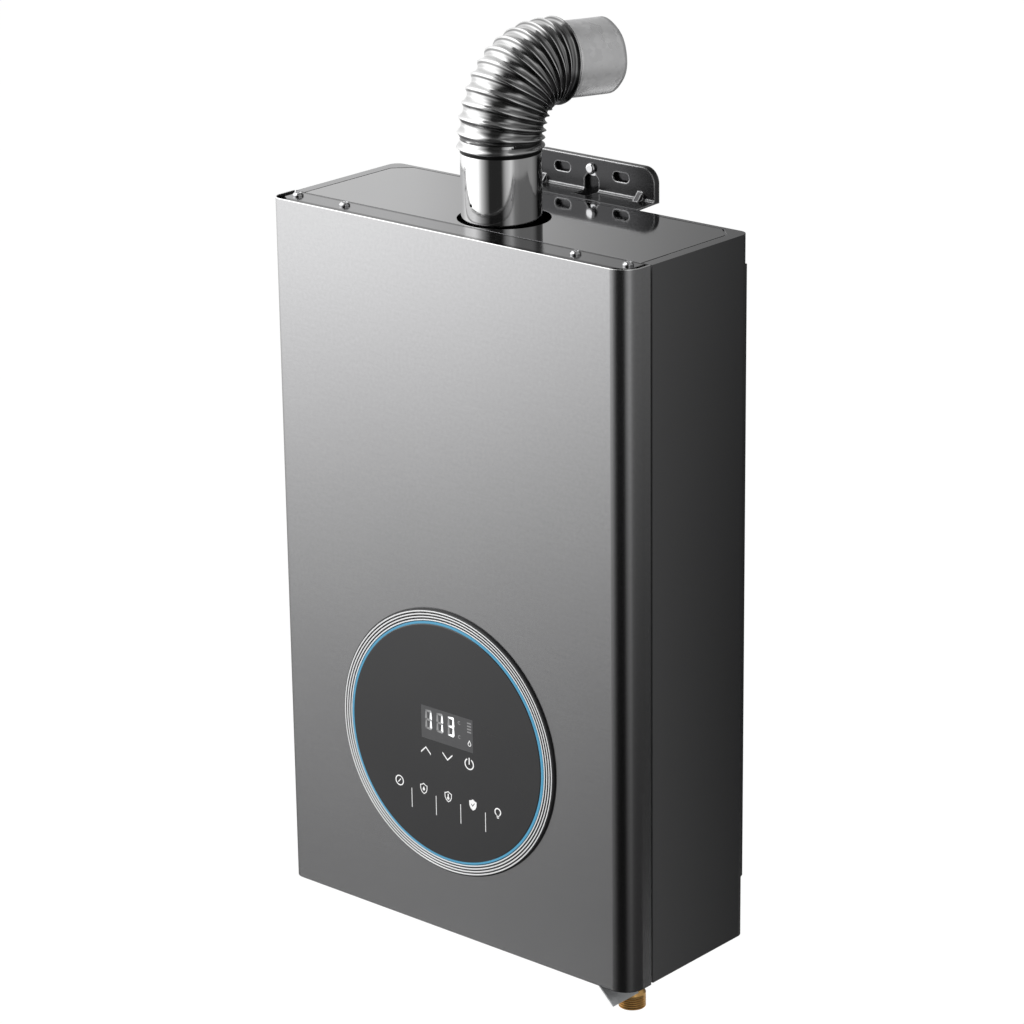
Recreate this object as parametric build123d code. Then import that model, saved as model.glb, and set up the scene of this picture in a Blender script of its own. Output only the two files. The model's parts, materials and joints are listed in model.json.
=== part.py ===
from build123d import *
import math
import os

os.makedirs("parts", exist_ok=True)

# A wall-hung gas water heater. Lengths are in millimetres, angles in degrees.
# Pieces are drawn from the middle of the case's rear bottom edge: X right, Y to the wall, Z up.
# At the end they move together so that the middle of the wall slots is the origin.

# Fits used all over the heater
overrun = 1.0
running_fit = 0.05
slip_fit = 0.1
screw_fit = 0.2
rest_gap = 0.3

# Rear case: a folded sheet with a pressed back
case_width = 346.0
case_depth = 140.5
case_height = 555.0
case_sheet = 0.8
case_bend = 8.5
joggle_run = 0.8
lip_depth = 4.0
lip_length = 10.0
lip_short = 1.0
flange_width = 9.0
flange_back = 4.0
flange_corner = 12.0
ledge_width = 8.0
groove = 1.0
bulge_depth = 10.0
bulge_side = 8.5
bulge_low = 40.0
bulge_top = 25.0
bulge_slope = 2.0

# Front cover: one sheet with round upright corners and a flange above and below
cover_sheet = 0.8
cover_corner = 16.0
cover_corner_left = 10.0
cover_return = 26.0
seam_gap = 2.0
cover_rim = 0.8
cover_flange = 27.0
flange_end = 6.0
notch_width = 2.0
notch_depth = 6.0
notch_slant = 4.0

# Plates set in the case's ends
plate_lip = 16.0
plate_lap = 9.0
air_slots = 12
air_slot_length = 40.0
air_slot_width = 5.0
air_slot_pitch = 15.0
air_slot_front = 82.5

# Screws
screw_radius = 1.9
screw_length = 7.0
screw_head_radius = 4.2
screw_head = 2.6
screw_dome = 1.4
recess_width = 1.1
recess_length = 4.6
recess_depth = 1.3
screw_inset = 10.0
screw_outer_side = 13.0
screw_inner_side = 61.0
inner_screw_length = 5.0

# Hanging bracket, wall plate and hanger stud
bracket_shift = 4.0
bracket_width = 126.0
upright_width = 121.0
bracket_sheet = 1.5
bracket_bend = 3.0
bracket_reach = 24.5
bracket_rise = 25.4
bracket_rim = 6.0
bracket_corner = 12.0
bracket_leg = 22.0
slot_rise = 14.5
slot_spacing = 57.0
slot_length = 15.5
slot_width = 7.2
neck_width = 7.4
neck_rise = 20.8
key_width = 14.0
key_rise = 9.0
key_taper = 4.0
key_depth = 15.0
fold_strip = 1.5
gusset_place = 47.0
gusset_leg = 6.5
gusset_width = 5.0
wall_plate_sheet = 2.0
wall_plate_gap = 0.5
wall_plate_drop = 14.0
wall_tongue_width = 44.0
wall_slot_spacing = 96.0
wall_slot_length = 12.0
wall_slot_width = 6.2
stud_head_radius = 4.3
stud_head = 2.6
stud_dome = 1.8
stud_collar_radius = 6.0
rivet_radius = 2.0
rivet_head_radius = 3.6
rivet_head = 1.2
rivet_spread = 45.0
rivet_drop = 14.0

# Lower stand-off bracket
lower_width = 80.0
lower_level = 12.0
lower_leg = 22.0
lower_drop = 26.0
lower_hole_radius = 3.2
lower_hole_drop = 18.0
lower_hole_spread = 28.0
lower_rivet_spread = 26.0
lower_rivet_rise = 13.0

# Round control panel
panel_height = 157.0
panel_shift = 3.2
bezel_width = 10.0
bezel_rise = 2.6
bezel_edge = 1.4
bezel_edge_run = 0.9
ridge_count = 4
ridge_depth = 0.9
ridge_shares = (0.0, 0.25, 0.62, 0.85)
spigot_wall = 3.5
spigot_depth = 6.0
panel_floor = 2.0
panel_floor_width = 9.0
ring_radius = 96.4
ring_width = 1.6
ring_proud = 0.3
ring_ledge = 5.0
glass_thick = 3.0
glass_proud = 0.8
glass_chamfer = 0.5
board_thick = 1.6
display_width = 56.0
display_height = 30.0
display_rise = 10.0
display_gap = 1.0
retainer_width = 9.0
retainer_thick = 2.5

# Flue collar, corrugated elbow and tail
flue_shift = 3.0
flue_front = 63.0
flue_radius = 30.0
flue_wall = 0.8
flue_hole_gap = 5.0
flue_hole_shift = 1.3
collar_drop = 14.0
collar_rise = 60.0
collar_hole_radius = 1.3
collar_hole_rise = 14.0
collar_hole_turn = 7.0
collar_flange_width = 12.0
collar_flange = 1.2
collar_screw_inset = 5.0
gasket_thick = 2.0
cuff_length = 7.5
cuff_wall = 1.0
elbow_wall = 2.4
rib_height = 2.8
rib_count = 13
rib_start = 1.5
rib_end = 1.8
rib_foot_share = 0.36
rib_land_share = 0.12
bend_lead = 2.5
bend_radii = (72.0, 37.0)
bend_angles = (31.0, 62.5)
bend_exit = 8.2
bend_heading = 11.0
tail_step = 1.3
tail_wall = 0.6
tail_crimp = 1.0
tail_socket = 7.0
tail_stop = 1.0
tail_length = 43.0

# Combustion stack: tray, chamber, exchanger and hood
stack_front_room = 28.0
stack_rear_room = 20.5
chamber_sheet = 1.0
tray_level = 172.0
tray_share = 54
chamber_share = 100
shell_share = 66
hood_share = 36
hood_sheet = 1.0
tray_slots = 9
tray_slot_width = 8.0
tray_slot_margin = 12.0
chamber_bracket_place_share = 0.3
chamber_bracket_width = 30.0
chamber_bracket_sheet = 1.5
chamber_bracket_low_share = 0.3
chamber_bracket_high_share = 0.7

# Burner bars, manifold and jets
bar_count = 10
bar_side = 10.0
bar_width = 9.0
bar_headroom = 7.0
bar_end_gap = 3.0
bar_slot = 3.0
bar_slot_depth = 4.0
venturi_radius = 4.0
venturi_depth = 20.0
jet_level = 14.0
jet_radius = 2.5
jet_length = 8.0
jet_seat = 2.5
jet_passage = 1.2
manifold_depth = 14.0
manifold_height = 14.0
manifold_end = 6.0
manifold_bore = 3.5

# Electrodes, sensor and thermal cut-out
electrode_level_share = 0.12
electrode_spread = 12.0
electrode_place_share = 0.2
sleeve_radius = 3.5
sleeve_length = 18.0
sleeve_outside = 10.0
electrode_radius = 1.0
electrode_reach = 22.0
electrode_tail = 4.0
cutout_radius = 8.0
cutout_length = 8.0
cutout_ear = 26.0
cutout_ear_height = 8.0
cutout_ear_sheet = 1.2
cutout_place_share = 0.3

# Heat exchanger
fin_count = 38
fin_thick = 0.6
fin_side = 7.5
fin_headroom = 8.0
fin_side_gap = 0.5
tube_radius = 6.0
tube_wall = 0.8
tube_pitch_least = 17.0
tube_margin = 12.0
tube_lead = 4.0
tube_end = 14.0
coupling_across = 16.0
coupling_length = 10.0

# Fan
fan_case_radius = 52.0
fan_case_depth = 56.0
fan_sheet = 1.0
fan_outlet_half = 29.0
fan_neck = 59.0
fan_outlet_radius = 26.0
fan_inlet_radius = 30.0
fan_foot_half = 34.0
fan_foot = 12.0
plenum_half = 48.0
impeller_radius = 42.0
impeller_gap = 3.5
impeller_disc = 1.5
blade_count = 24
blade_depth = 8.0
blade_thick = 1.0
blade_tilt = 25.0
hub_radius = 8.0
hub_length = 20.0
shaft_radius = 3.0
shaft_inside = 24.0
shaft_hole = 6.0
motor_radius = 27.0
motor_length = 28.0
motor_flange_radius = 36.0
motor_flange = 2.0
motor_screws = 3
motor_cap_radius = 12.0
motor_cap = 2.0

# Half-inch pipe fittings under the case
thread_radius = 10.48
thread_root = 9.32
thread_pitch = 1.814
thread_turns = 6
thread_shares = (0.0, 0.32, 0.6, 0.9)
fitting_drop = 38.8
fitting_bore = 7.5
fitting_throat = 5.2
filter_depth = 22.0
hex_across = 27.0
hex_height = 8.0
neck_drop = 6.0
relief_radius = 8.6
shoulder_flat = 0.8
shoulder_rise = 3.2
shoulder_cut = 1.2
fitting_neck = 11.6
fitting_top = 30.0
pipe_socket = 10.0
water_side = 38.0
water_front = 50.0
riser_run = 17.0
outlet_run = 26.0
gas_shift = 10.0
gas_back = 46.5

# Inlet filter, flow sensor and turbine
filter_wall = 0.8
filter_holes = 8
filter_hole_radius = 1.0
filter_hole_place = 4.0
filter_length = 18.0
sensor_radius = 15.0
sensor_bore = 11.0
sensor_floor = 16.0
sensor_chamber = 33.0
sensor_head = 18.0
support_thick = 3.0
support_hub = 3.0
support_spokes = 3
spoke_width = 2.0
rotor_pin = 1.0
rotor_pin_short = 0.5
rotor_hub = 3.5
rotor_tip_gap = 1.2
rotor_blades = 6
rotor_blade = 1.2
rotor_blade_tilt = 30.0
rotor_blade_share = 0.6
sensor_plug_width = 14.0
sensor_plug_height = 16.0
sensor_plug_depth = 9.0

# Water pipes
inlet_jog_low = 200.0
inlet_jog_high = 240.0
pipe_bend = 12.0

# Gas valve
valve_width = 56.0
valve_depth = 48.0
valve_height = 65.0
valve_level = 40.0
valve_port_rise = 32.0
coil_radius = 13.0
coil_length = 30.0
plunger_radius = 5.0
plunger_seat = 14.0
plunger_length = 30.0
plunger_travel = 4.0
spring_room = 6.0
coil_cheek = 1.2
gas_pipe_rise = 25.0
gas_pipe_bend = 10.0

# Tongue of zinc sheet beside the water fitting
tongue_sheet = 1.2
tongue_width = 29.5
tongue_front = 7.5
tongue_low = 18.0
tongue_reach = 18.0
tongue_beyond = 17.0
tongue_foot = 20.0
tongue_foot_width = 10.0

# Electrical pieces on the back wall
box_outlet_gap = 6.0
box_coil_gap = 4.0
box_low = 48.0
box_height = 114.0
box_depth = 40.0
box_wall = 2.0
lid_thick = 2.0
board_standoff = 5.0
board_margin = 4.0
relay_width = 18.0
relay_depth = 14.0
relay_height = 15.0
relay_shares = (-0.3, 0.0, 0.3)
igniter_left = 60.0
igniter_width = 52.0
igniter_low = 118.0
igniter_height = 46.0
igniter_depth = 28.0
igniter_round = 4.0
switch_side = 53.0
switch_drop = 85.0
switch_radius = 24.0
switch_depth = 16.0
switch_port_radius = 3.0
switch_port = 12.0
gland_shift = 60.0
gland_back = 34.5
gland_radius = 8.0
gland_bore = 4.0
gland_flange = 11.0
gland_flange_height = 5.0
gland_drop = 14.0
gland_rise = 12.0

# Places worked out from the sizes above
half = case_width / 2
top = case_height
front_y = -case_depth
cover_end_y = front_y + cover_return
seam_y = cover_end_y + seam_gap
cover_seam_y = front_y + cover_flange
screw_y = cover_seam_y - screw_inset
screw_outer = half - screw_outer_side
screw_inner = half - screw_inner_side
back_in = bulge_depth - case_sheet
wall_y = bracket_reach + bracket_rim
bezel_radius = ring_radius + bezel_width
flue_y = front_y + flue_front
tail_radius = flue_radius - tail_step
crimp_radius = tail_radius - tail_crimp
elbow_bore = crimp_radius + slip_fit
stack_x = flue_shift
stack_front = front_y + stack_front_room
stack_rear = -stack_rear_room
chamber_depth = stack_rear - stack_front
water_shift = half - water_side
joint_right = water_shift - riser_run
stack_right = joint_right - tube_end
chamber_width = 2 * (stack_right - stack_x)
stack_left = stack_right - chamber_width
joint_left = stack_left - tube_end
outlet_shift = outlet_run - joint_left
fan_top = top - collar_drop - gasket_thick
fan_z = fan_top - fan_neck
fan_x = flue_shift + fan_outlet_half - fan_case_radius
fan_front = flue_y - fan_case_depth / 2
fan_rear = flue_y + fan_case_depth / 2
hood_top = fan_z - fan_case_radius
stack_unit = (hood_top - tray_level) / (tray_share + chamber_share + shell_share + hood_share)
tray_height = stack_unit * tray_share
chamber_height = stack_unit * chamber_share
shell_height = stack_unit * shell_share
chamber_z = tray_level + tray_height
shell_z = chamber_z + chamber_height
hood_z = shell_z + shell_height
tube_z = shell_z + shell_height / 2
electrode_z = chamber_z + chamber_height * electrode_level_share
bar_pitch = (chamber_width - 2 * bar_side - bar_width) / (bar_count - 1)
fin_pitch = (chamber_width - 2 * fin_side) / (fin_count - 1)
jet_z = tray_level + jet_level
tube_room = chamber_depth - 2 * tube_margin
tube_passes = 1 + 2 * math.floor(tube_room / (2 * tube_pitch_least))
tube_pitch = tube_room / (tube_passes - 1)
pass_y = [stack_front + tube_margin + i * tube_pitch for i in range(tube_passes)]
outlet_y = pass_y[-1]
water_y = front_y + water_front
gas_y = -gas_back
valve_top = valve_level + valve_height
port_z = valve_level + valve_port_rise
plunger_room = plunger_length - plunger_seat + plunger_travel + spring_room
valve_left = gas_shift - valve_width / 2
valve_right = gas_shift + valve_width / 2
box_left = -outlet_shift + tube_radius + box_outlet_gap
box_right = valve_left - coil_length - box_coil_gap
switch_x = switch_side - half
switch_z = top - switch_drop
tongue_right = water_shift + tongue_beyond
sensor_low = fitting_top + sensor_floor
sensor_high = sensor_low + sensor_chamber
sensor_top = sensor_high + sensor_head
slot_z = top + slot_rise
stud_radius = neck_width / 2 - slip_fit
stud_z = top + neck_rise - neck_width / 2
FROM_BASE = (Align.CENTER, Align.CENTER, Align.MIN)


# Small makers used by many pieces
def block(x0, x1, y0, y1, z0, z1):
    """A box between two opposite corners."""
    centre = Pos((x0 + x1) / 2, (y0 + y1) / 2, (z0 + z1) / 2)
    return centre * Box(abs(x1 - x0), abs(y1 - y0), abs(z1 - z0))


def post(radius, x, y, z0, z1):
    """An upright round bar."""
    return Pos(x, y, z0) * Cylinder(radius, z1 - z0, align=FROM_BASE)


def rod_x(radius, y, z, x0, x1):
    """A round bar along the width."""
    return Pos(x0, y, z) * Rot(0, 90, 0) * Cylinder(radius, x1 - x0, align=FROM_BASE)


def rod_y(radius, x, z, y0, y1):
    """A round bar along the depth."""
    return Pos(x, y0, z) * Rot(-90, 0, 0) * Cylinder(radius, y1 - y0, align=FROM_BASE)


def turned(points):
    """A turned solid about Z from (radius, height) points."""
    outline = Polyline(*[(r, 0, z) for r, z in points], close=True)
    return revolve(make_face(outline), Axis.Z)


def prism_z(points, z0, z1):
    """An upright prism from a plan outline."""
    outline = Polyline(*[(x, y, z0) for x, y in points], close=True)
    return extrude(make_face(outline), amount=z1 - z0, dir=(0, 0, 1))


def prism_y(points, y0, y1):
    """A prism along the depth from a front outline."""
    outline = Polyline(*[(x, y0, z) for x, z in points], close=True)
    return extrude(make_face(outline), amount=y1 - y0, dir=(0, 1, 0))


def prism_x(points, x0, x1):
    """A prism along the width from a side outline."""
    outline = Polyline(*[(x0, y, z) for y, z in points], close=True)
    return extrude(make_face(outline), amount=x1 - x0, dir=(1, 0, 0))


def round_upright(body, radius, row):
    """Rounds the upright edges of the rearmost (-1) or foremost (0) row."""
    return fillet(body.edges().filter_by(Axis.Z).group_by(Axis.Y)[row], radius)


def slot_y(length, width, x, z, y0, y1):
    """A slot along X with round ends, cut along Y."""
    flat = (length - width) / 2
    bar = block(x - flat, x + flat, y0, y1, z - width / 2, z + width / 2)
    return bar + rod_y(width / 2, x - flat, z, y0, y1) + rod_y(width / 2, x + flat, z, y0, y1)


def hexagon(across, height, bore):
    """A hexagon with a hole, standing on the origin."""
    outer = extrude(RegularPolygon(across / 2, 6, major_radius=False), height)
    return outer - Pos(0, 0, -overrun) * Cylinder(bore, height + 2 * overrun, align=FROM_BASE)


def tube(points, radii, radius, wall):
    """A bent pipe along straight runs with round corners."""
    path = FilletPolyline(*points, radius=radii)
    section = Plane(path @ 0, z_dir=path % 0) * (Circle(radius) - Circle(radius - wall))
    return sweep(section, path=path)


def screw(length):
    """A pan-head screw with a cross recess, head upwards, seated on the origin."""
    head = turned([
        (0, -length),
        (screw_radius, -length),
        (screw_radius, 0),
        (screw_head_radius, 0),
        (screw_head_radius, screw_head - screw_dome),
        (screw_head_radius - screw_dome, screw_head),
        (0, screw_head),
    ])
    low = screw_head - recess_depth
    high = screw_head + overrun
    arm = block(-recess_length / 2, recess_length / 2, -recess_width / 2, recess_width / 2, low, high)
    return head - arm - Rot(0, 0, 90) * arm


# Case
def plate_outline(inset, z0, z1, front):
    """The opening inside the case's end flanges, drawn in by an inset."""
    side = half - flange_width - inset
    rear = -flange_back - inset
    cut = flange_corner
    return prism_z([
        (-side, front),
        (-side, rear - cut),
        (-side + cut, rear),
        (side - cut, rear),
        (side, rear - cut),
        (side, front),
    ], z0, z1)


def pressed(side, low, high, y0, y1):
    """A shallow pressing on the back, drawn in on all sides."""
    def frame(y, draw):
        x = side - draw
        return make_face(Polyline(
            (-x, y, low + draw), (x, y, low + draw), (x, y, high - draw), (-x, y, high - draw), close=True))
    return loft([frame(y0, 0), frame(y1, bulge_slope)])


def rivet_places():
    """Where the rivets of both brackets go through the back, as (x, z)."""
    upper = [(bracket_shift + s * rivet_spread, top - rivet_drop) for s in (-1, 0, 1)]
    lower = [(bracket_shift + s * lower_rivet_spread, lower_level + lower_rivet_rise) for s in (-1, 1)]
    return upper + lower


def rear_case():
    outer = round_upright(block(-half, half, seam_y, 0, 0, top), case_bend, -1)
    inside = half - case_sheet
    hollow = block(-inside, inside, seam_y - overrun, -case_sheet, -overrun, top + overrun)
    body = outer - round_upright(hollow, case_bend - case_sheet, -1)
    flanges = ((0, 0), (top - case_sheet, 0), (case_sheet, ledge_width), (top - 2 * case_sheet, ledge_width))
    for z, inset in flanges:
        slab = outer & block(-half, half, seam_y, 0, z, z + case_sheet)
        body += slab - plate_outline(inset, z - overrun, z + case_sheet + overrun, seam_y - overrun)
    lip_x = half - lip_depth
    bend_y = seam_y - joggle_run
    lip = prism_z([
        (half, seam_y),
        (half - case_sheet, seam_y),
        (lip_x - case_sheet, bend_y),
        (lip_x - case_sheet, bend_y - lip_length),
        (lip_x, bend_y - lip_length),
        (lip_x, bend_y),
    ], lip_short, top - lip_short)
    body += lip
    body += mirror(lip, Plane.YZ)
    side = half - bulge_side
    body += pressed(side, bulge_low, top - bulge_top, 0, bulge_depth)
    inner_low = bulge_low + case_sheet
    inner_high = top - bulge_top - case_sheet
    body -= pressed(side - case_sheet, inner_low, inner_high, -case_sheet, back_in)
    for x, z in rivet_places():
        body -= rod_y(rivet_radius + slip_fit, x, z, -case_sheet - overrun, overrun)
    return body


def end_plate(z, inward):
    """A plate set flush in the case's end, with a lowered lip under the cover's flange."""
    near, far = sorted((z, z + inward * case_sheet))
    lip_near, lip_far = sorted((z + inward * case_sheet, z + 2 * inward * case_sheet))
    body = plate_outline(groove, near, far, cover_seam_y + groove)
    middle = half - flange_width - ledge_width - groove
    wide = half - flange_end - groove
    lip_front = cover_seam_y - plate_lip
    body += block(-middle, middle, lip_front, cover_seam_y + plate_lap, lip_near, lip_far)
    body += block(-wide, wide, lip_front, seam_y - groove, lip_near, lip_far)
    return body


def top_screw_places():
    return [s * x for x in (screw_inner, screw_outer) for s in (-1, 1)]


def bottom_screw_places():
    return [s * screw_inner for s in (-1, 1)]


def top_plate():
    body = end_plate(top, -1)
    hole_x = flue_shift + flue_hole_shift
    hole_y = flue_y + flue_hole_shift
    body -= post(flue_radius + flue_hole_gap, hole_x, hole_y, top - collar_drop, top + overrun)
    for x in top_screw_places():
        body -= post(screw_radius + slip_fit, x, screw_y, top - collar_drop, top + overrun)
    return body


def bottom_plate():
    body = end_plate(0, 1)
    deep = 2 * case_sheet + overrun
    for x, y in ((water_shift, water_y), (-outlet_shift, outlet_y), (gas_shift, gas_y)):
        body -= post(fitting_neck + screw_fit, x, y, -overrun, deep)
    body -= post(gland_radius + screw_fit, -gland_shift, -gland_back, -overrun, deep)
    for x in bottom_screw_places():
        body -= post(screw_radius + slip_fit, x, screw_y, -overrun, deep)
    for i in range(air_slots):
        x = (i - (air_slots - 1) / 2) * air_slot_pitch
        y0 = -air_slot_front - air_slot_length / 2
        body -= block(x - air_slot_width / 2, x + air_slot_width / 2, y0, y0 + air_slot_length, -overrun, deep)
    return body


def cover_flange_plan(z0, z1):
    """The cover's end flange, narrowed beside the round corners."""
    wide = half - flange_end
    start = front_y + cover_sheet / 2
    turn = front_y + notch_depth

    def side(corner):
        narrow = half - corner - notch_width
        return [(narrow, start), (narrow, turn), (wide, turn + notch_slant), (wide, cover_seam_y)]

    left = [(-x, y) for x, y in reversed(side(cover_corner_left))]
    return prism_z(side(cover_corner) + left, z0, z1)


def round_corners(body, inset):
    """Rounds the two front corners of the cover, drawn in by an inset."""
    for radius, side in ((cover_corner_left, 0), (cover_corner, -1)):
        edge = body.edges().filter_by(Axis.Z).group_by(Axis.Y)[0].sort_by(Axis.X)[side]
        body = fillet(edge, radius - inset)
    return body


def front_cover():
    low = -cover_rim
    high = top + cover_rim
    outer = round_corners(block(-half, half, front_y, cover_end_y, low, high), 0)
    inside = half - cover_sheet
    hollow = block(-inside, inside, front_y + cover_sheet, cover_end_y + overrun, low - overrun, high + overrun)
    body = outer - round_corners(hollow, cover_sheet)
    body += cover_flange_plan(top - cover_sheet, top)
    body += cover_flange_plan(0, cover_sheet)
    for x in top_screw_places():
        body -= post(screw_radius + screw_fit, x, screw_y, top - cover_sheet - overrun, top + overrun)
    for x in bottom_screw_places():
        body -= post(screw_radius + screw_fit, x, screw_y, -overrun, cover_sheet + overrun)
    hole = ring_radius + spigot_wall + screw_fit
    return body - rod_y(hole, -panel_shift, panel_height, front_y - overrun, front_y + cover_sheet + overrun)


def cover_screws():
    above = [Pos(x, screw_y, top) * screw(screw_length) for x in top_screw_places()]
    below = [Pos(x, screw_y, 0) * Rot(180, 0, 0) * screw(screw_length) for x in bottom_screw_places()]
    return Compound(children=above + below)


# Brackets
def arch(width, low, high, corner, y0, y1):
    """An upright plate with its two top corners rounded."""
    body = block(-width / 2, width / 2, y0, y1, low, high)
    edges = body.edges().filter_by(Axis.Y).group_by(Axis.Z)[-1]
    return Pos(bracket_shift, 0, 0) * fillet(edges, corner)


def keyhole(y0, y1):
    """The keyhole in the upright plate, with its wide mouth running out at the fold."""
    neck = neck_width / 2
    wide = key_width / 2
    mouth = top - bracket_sheet - overrun
    sides = [(wide, mouth), (wide, top + key_rise), (neck, top + key_rise + key_taper), (neck, stud_z)]
    outline = sides + [(-x, z) for x, z in reversed(sides)]
    cut = prism_y(outline, y0, y1) + rod_y(neck, 0, stud_z, y0, y1)
    return Pos(bracket_shift, 0, 0) * cut


def hanging_bracket():
    side = bracket_width / 2
    low = top - bracket_sheet
    face = bracket_reach + bracket_sheet
    left = bracket_shift - side
    right = bracket_shift + side
    slim = upright_width / 2
    fold = prism_z([(left, 0), (right, 0), (bracket_shift + slim, face), (bracket_shift - slim, face)], low, top)
    fold += block(left, right, 0, bracket_sheet, top - bracket_leg, top)
    front_edge = fold.edges().filter_by(Axis.X).group_by(Axis.Y)[0].sort_by(Axis.Z)[-1]
    fold = fillet(front_edge, bracket_bend)
    pan = arch(upright_width, low, top + bracket_rise, bracket_corner, bracket_reach, wall_y)
    hollow_width = upright_width - 2 * bracket_sheet
    hollow_top = top + bracket_rise - bracket_sheet
    hollow = arch(hollow_width, low - overrun, hollow_top, bracket_corner - bracket_sheet, face, wall_y + overrun)
    body = fold + (pan - hollow)
    strip = [(bracket_reach, top), (bracket_reach - fold_strip, top), (bracket_reach, top + fold_strip)]
    body += prism_x(strip, bracket_shift - slim, bracket_shift + slim)
    for s in (-1, 1):
        x = bracket_shift + s * gusset_place
        web = [(bracket_reach, top), (bracket_reach - gusset_leg, top), (bracket_reach, top + gusset_leg)]
        body += prism_x(web, x - gusset_width / 2, x + gusset_width / 2)
        x = bracket_shift + s * slot_spacing / 2
        body -= slot_y(slot_length, slot_width, x, slot_z, bracket_reach - overrun, face + overrun)
    body -= keyhole(bracket_reach - overrun, face + overrun)
    mouth = key_width / 2
    floor_y = bracket_reach - key_depth
    body -= block(bracket_shift - mouth, bracket_shift + mouth, floor_y, face + overrun, low - overrun, top + overrun)
    for x, z in rivet_places():
        body -= rod_y(rivet_radius + slip_fit, x, z, -overrun, bracket_sheet + overrun)
    return body


def wall_plate():
    gap = bracket_sheet + wall_plate_gap
    width = upright_width - 2 * gap
    near = wall_y - wall_plate_sheet
    high = top + bracket_rise - gap
    body = arch(width, top, high, bracket_corner - gap, near, wall_y)
    tongue = wall_tongue_width / 2
    body += block(bracket_shift - tongue, bracket_shift + tongue, near, wall_y, top - wall_plate_drop, top)
    for s in (-1, 1):
        x = bracket_shift + s * wall_slot_spacing / 2
        body -= slot_y(wall_slot_length, wall_slot_width, x, slot_z, near - overrun, wall_y + overrun)
    return body - rod_y(stud_radius + slip_fit, bracket_shift, stud_z, near - overrun, wall_y + overrun)


def hanger_stud():
    face = bracket_reach + bracket_sheet
    near = wall_y - wall_plate_sheet
    head_end = bracket_reach - rest_gap
    body = rod_y(stud_radius, bracket_shift, stud_z, head_end, wall_y)
    body += rod_y(stud_collar_radius, bracket_shift, stud_z, face + rest_gap, near)
    head = rod_y(stud_head_radius, bracket_shift, stud_z, head_end - stud_head, head_end)
    return body + fillet(head.edges().filter_by(GeomType.CIRCLE).sort_by(Axis.Y)[0], stud_dome)


def lower_bracket():
    left = bracket_shift - lower_width / 2
    right = bracket_shift + lower_width / 2
    shelf = lower_level + bracket_sheet
    body = block(left, right, 0, bracket_sheet, lower_level, lower_level + lower_leg)
    body += block(left, right, 0, wall_y, lower_level, shelf)
    body += block(left, right, wall_y - bracket_sheet, wall_y, lower_level - lower_drop, shelf)
    hole_z = lower_level - lower_hole_drop
    near = wall_y - bracket_sheet - overrun
    for s in (-1, 1):
        x = bracket_shift + s * lower_hole_spread
        body -= rod_y(lower_hole_radius, x, hole_z, near, wall_y + overrun)
    for x, z in rivet_places():
        body -= rod_y(rivet_radius + slip_fit, x, z, -overrun, bracket_sheet + overrun)
    return body


def bracket_rivets():
    rivets = []
    for x, z in rivet_places():
        shank = rod_y(rivet_radius, x, z, -case_sheet, bracket_sheet)
        shank += rod_y(rivet_head_radius, x, z, bracket_sheet, bracket_sheet + rivet_head)
        shank += rod_y(rivet_head_radius, x, z, -case_sheet - rivet_head, -case_sheet)
        rivets.append(shank)
    return Compound(children=rivets)


# Control panel, turned about an axis square to the front
def on_panel(points):
    """A turned piece of the panel, from (radius, distance out of the cover) points."""
    return Pos(-panel_shift, front_y, panel_height) * Rot(90, 0, 0) * turned(points)


def control_bezel():
    floor = -spigot_depth
    outside = ring_radius + spigot_wall
    run = bezel_radius - bezel_edge_run - ring_radius
    points = [
        (ring_radius - panel_floor_width, floor),
        (outside, floor),
        (outside, 0),
        (bezel_radius, 0),
        (bezel_radius, bezel_edge),
    ]
    for i in range(ridge_count):
        for share, rise in zip(ridge_shares, (0, ridge_depth, ridge_depth, 0)):
            radius = ring_radius + run * (1 - (i + share) / ridge_count)
            points.append((radius, bezel_rise - ridge_depth + rise))
    points += [
        (ring_radius, bezel_rise - ridge_depth),
        (ring_radius, floor + panel_floor),
        (ring_radius - panel_floor_width, floor + panel_floor),
    ]
    return on_panel(points)


def light_ring():
    outer = ring_radius - slip_fit
    inner = ring_radius - ring_width
    seat = bezel_rise + glass_proud - glass_thick
    low = panel_floor - spigot_depth
    high = bezel_rise + ring_proud
    return on_panel([
        (inner - ring_ledge, low), (outer, low), (outer, high), (inner, high), (inner, seat), (inner - ring_ledge, seat)])


def control_glass():
    edge = ring_radius - ring_width - slip_fit
    high = bezel_rise + glass_proud
    low = high - glass_thick
    return on_panel([(0, low), (edge, low), (edge, high - glass_chamfer), (edge - glass_chamfer, high), (0, high)])


def display_board():
    front = -spigot_depth
    board = on_panel([(0, front - board_thick), (ring_radius, front - board_thick), (ring_radius, front), (0, front)])
    glass_back = bezel_rise + glass_proud - glass_thick
    near = front_y - glass_back + display_gap
    left = -panel_shift - display_width / 2
    low = panel_height + display_rise - display_height / 2
    return board + block(left, left + display_width, near, front_y - front, low, low + display_height)


def panel_retainer():
    inner = ring_radius + spigot_wall + slip_fit
    near = -cover_sheet
    far = near - retainer_thick
    return on_panel([(inner, far), (inner + retainer_width, far), (inner + retainer_width, near), (inner, near)])


# Flue
def collar_screw_places():
    """Where the collar's flange is screwed to the fan case."""
    reach = (flue_radius + collar_flange_width - collar_screw_inset) * math.sqrt(1 / 2)
    return [(flue_shift + sx * reach, flue_y + sy * reach) for sx in (-1, 1) for sy in (-1, 1)]


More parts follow.
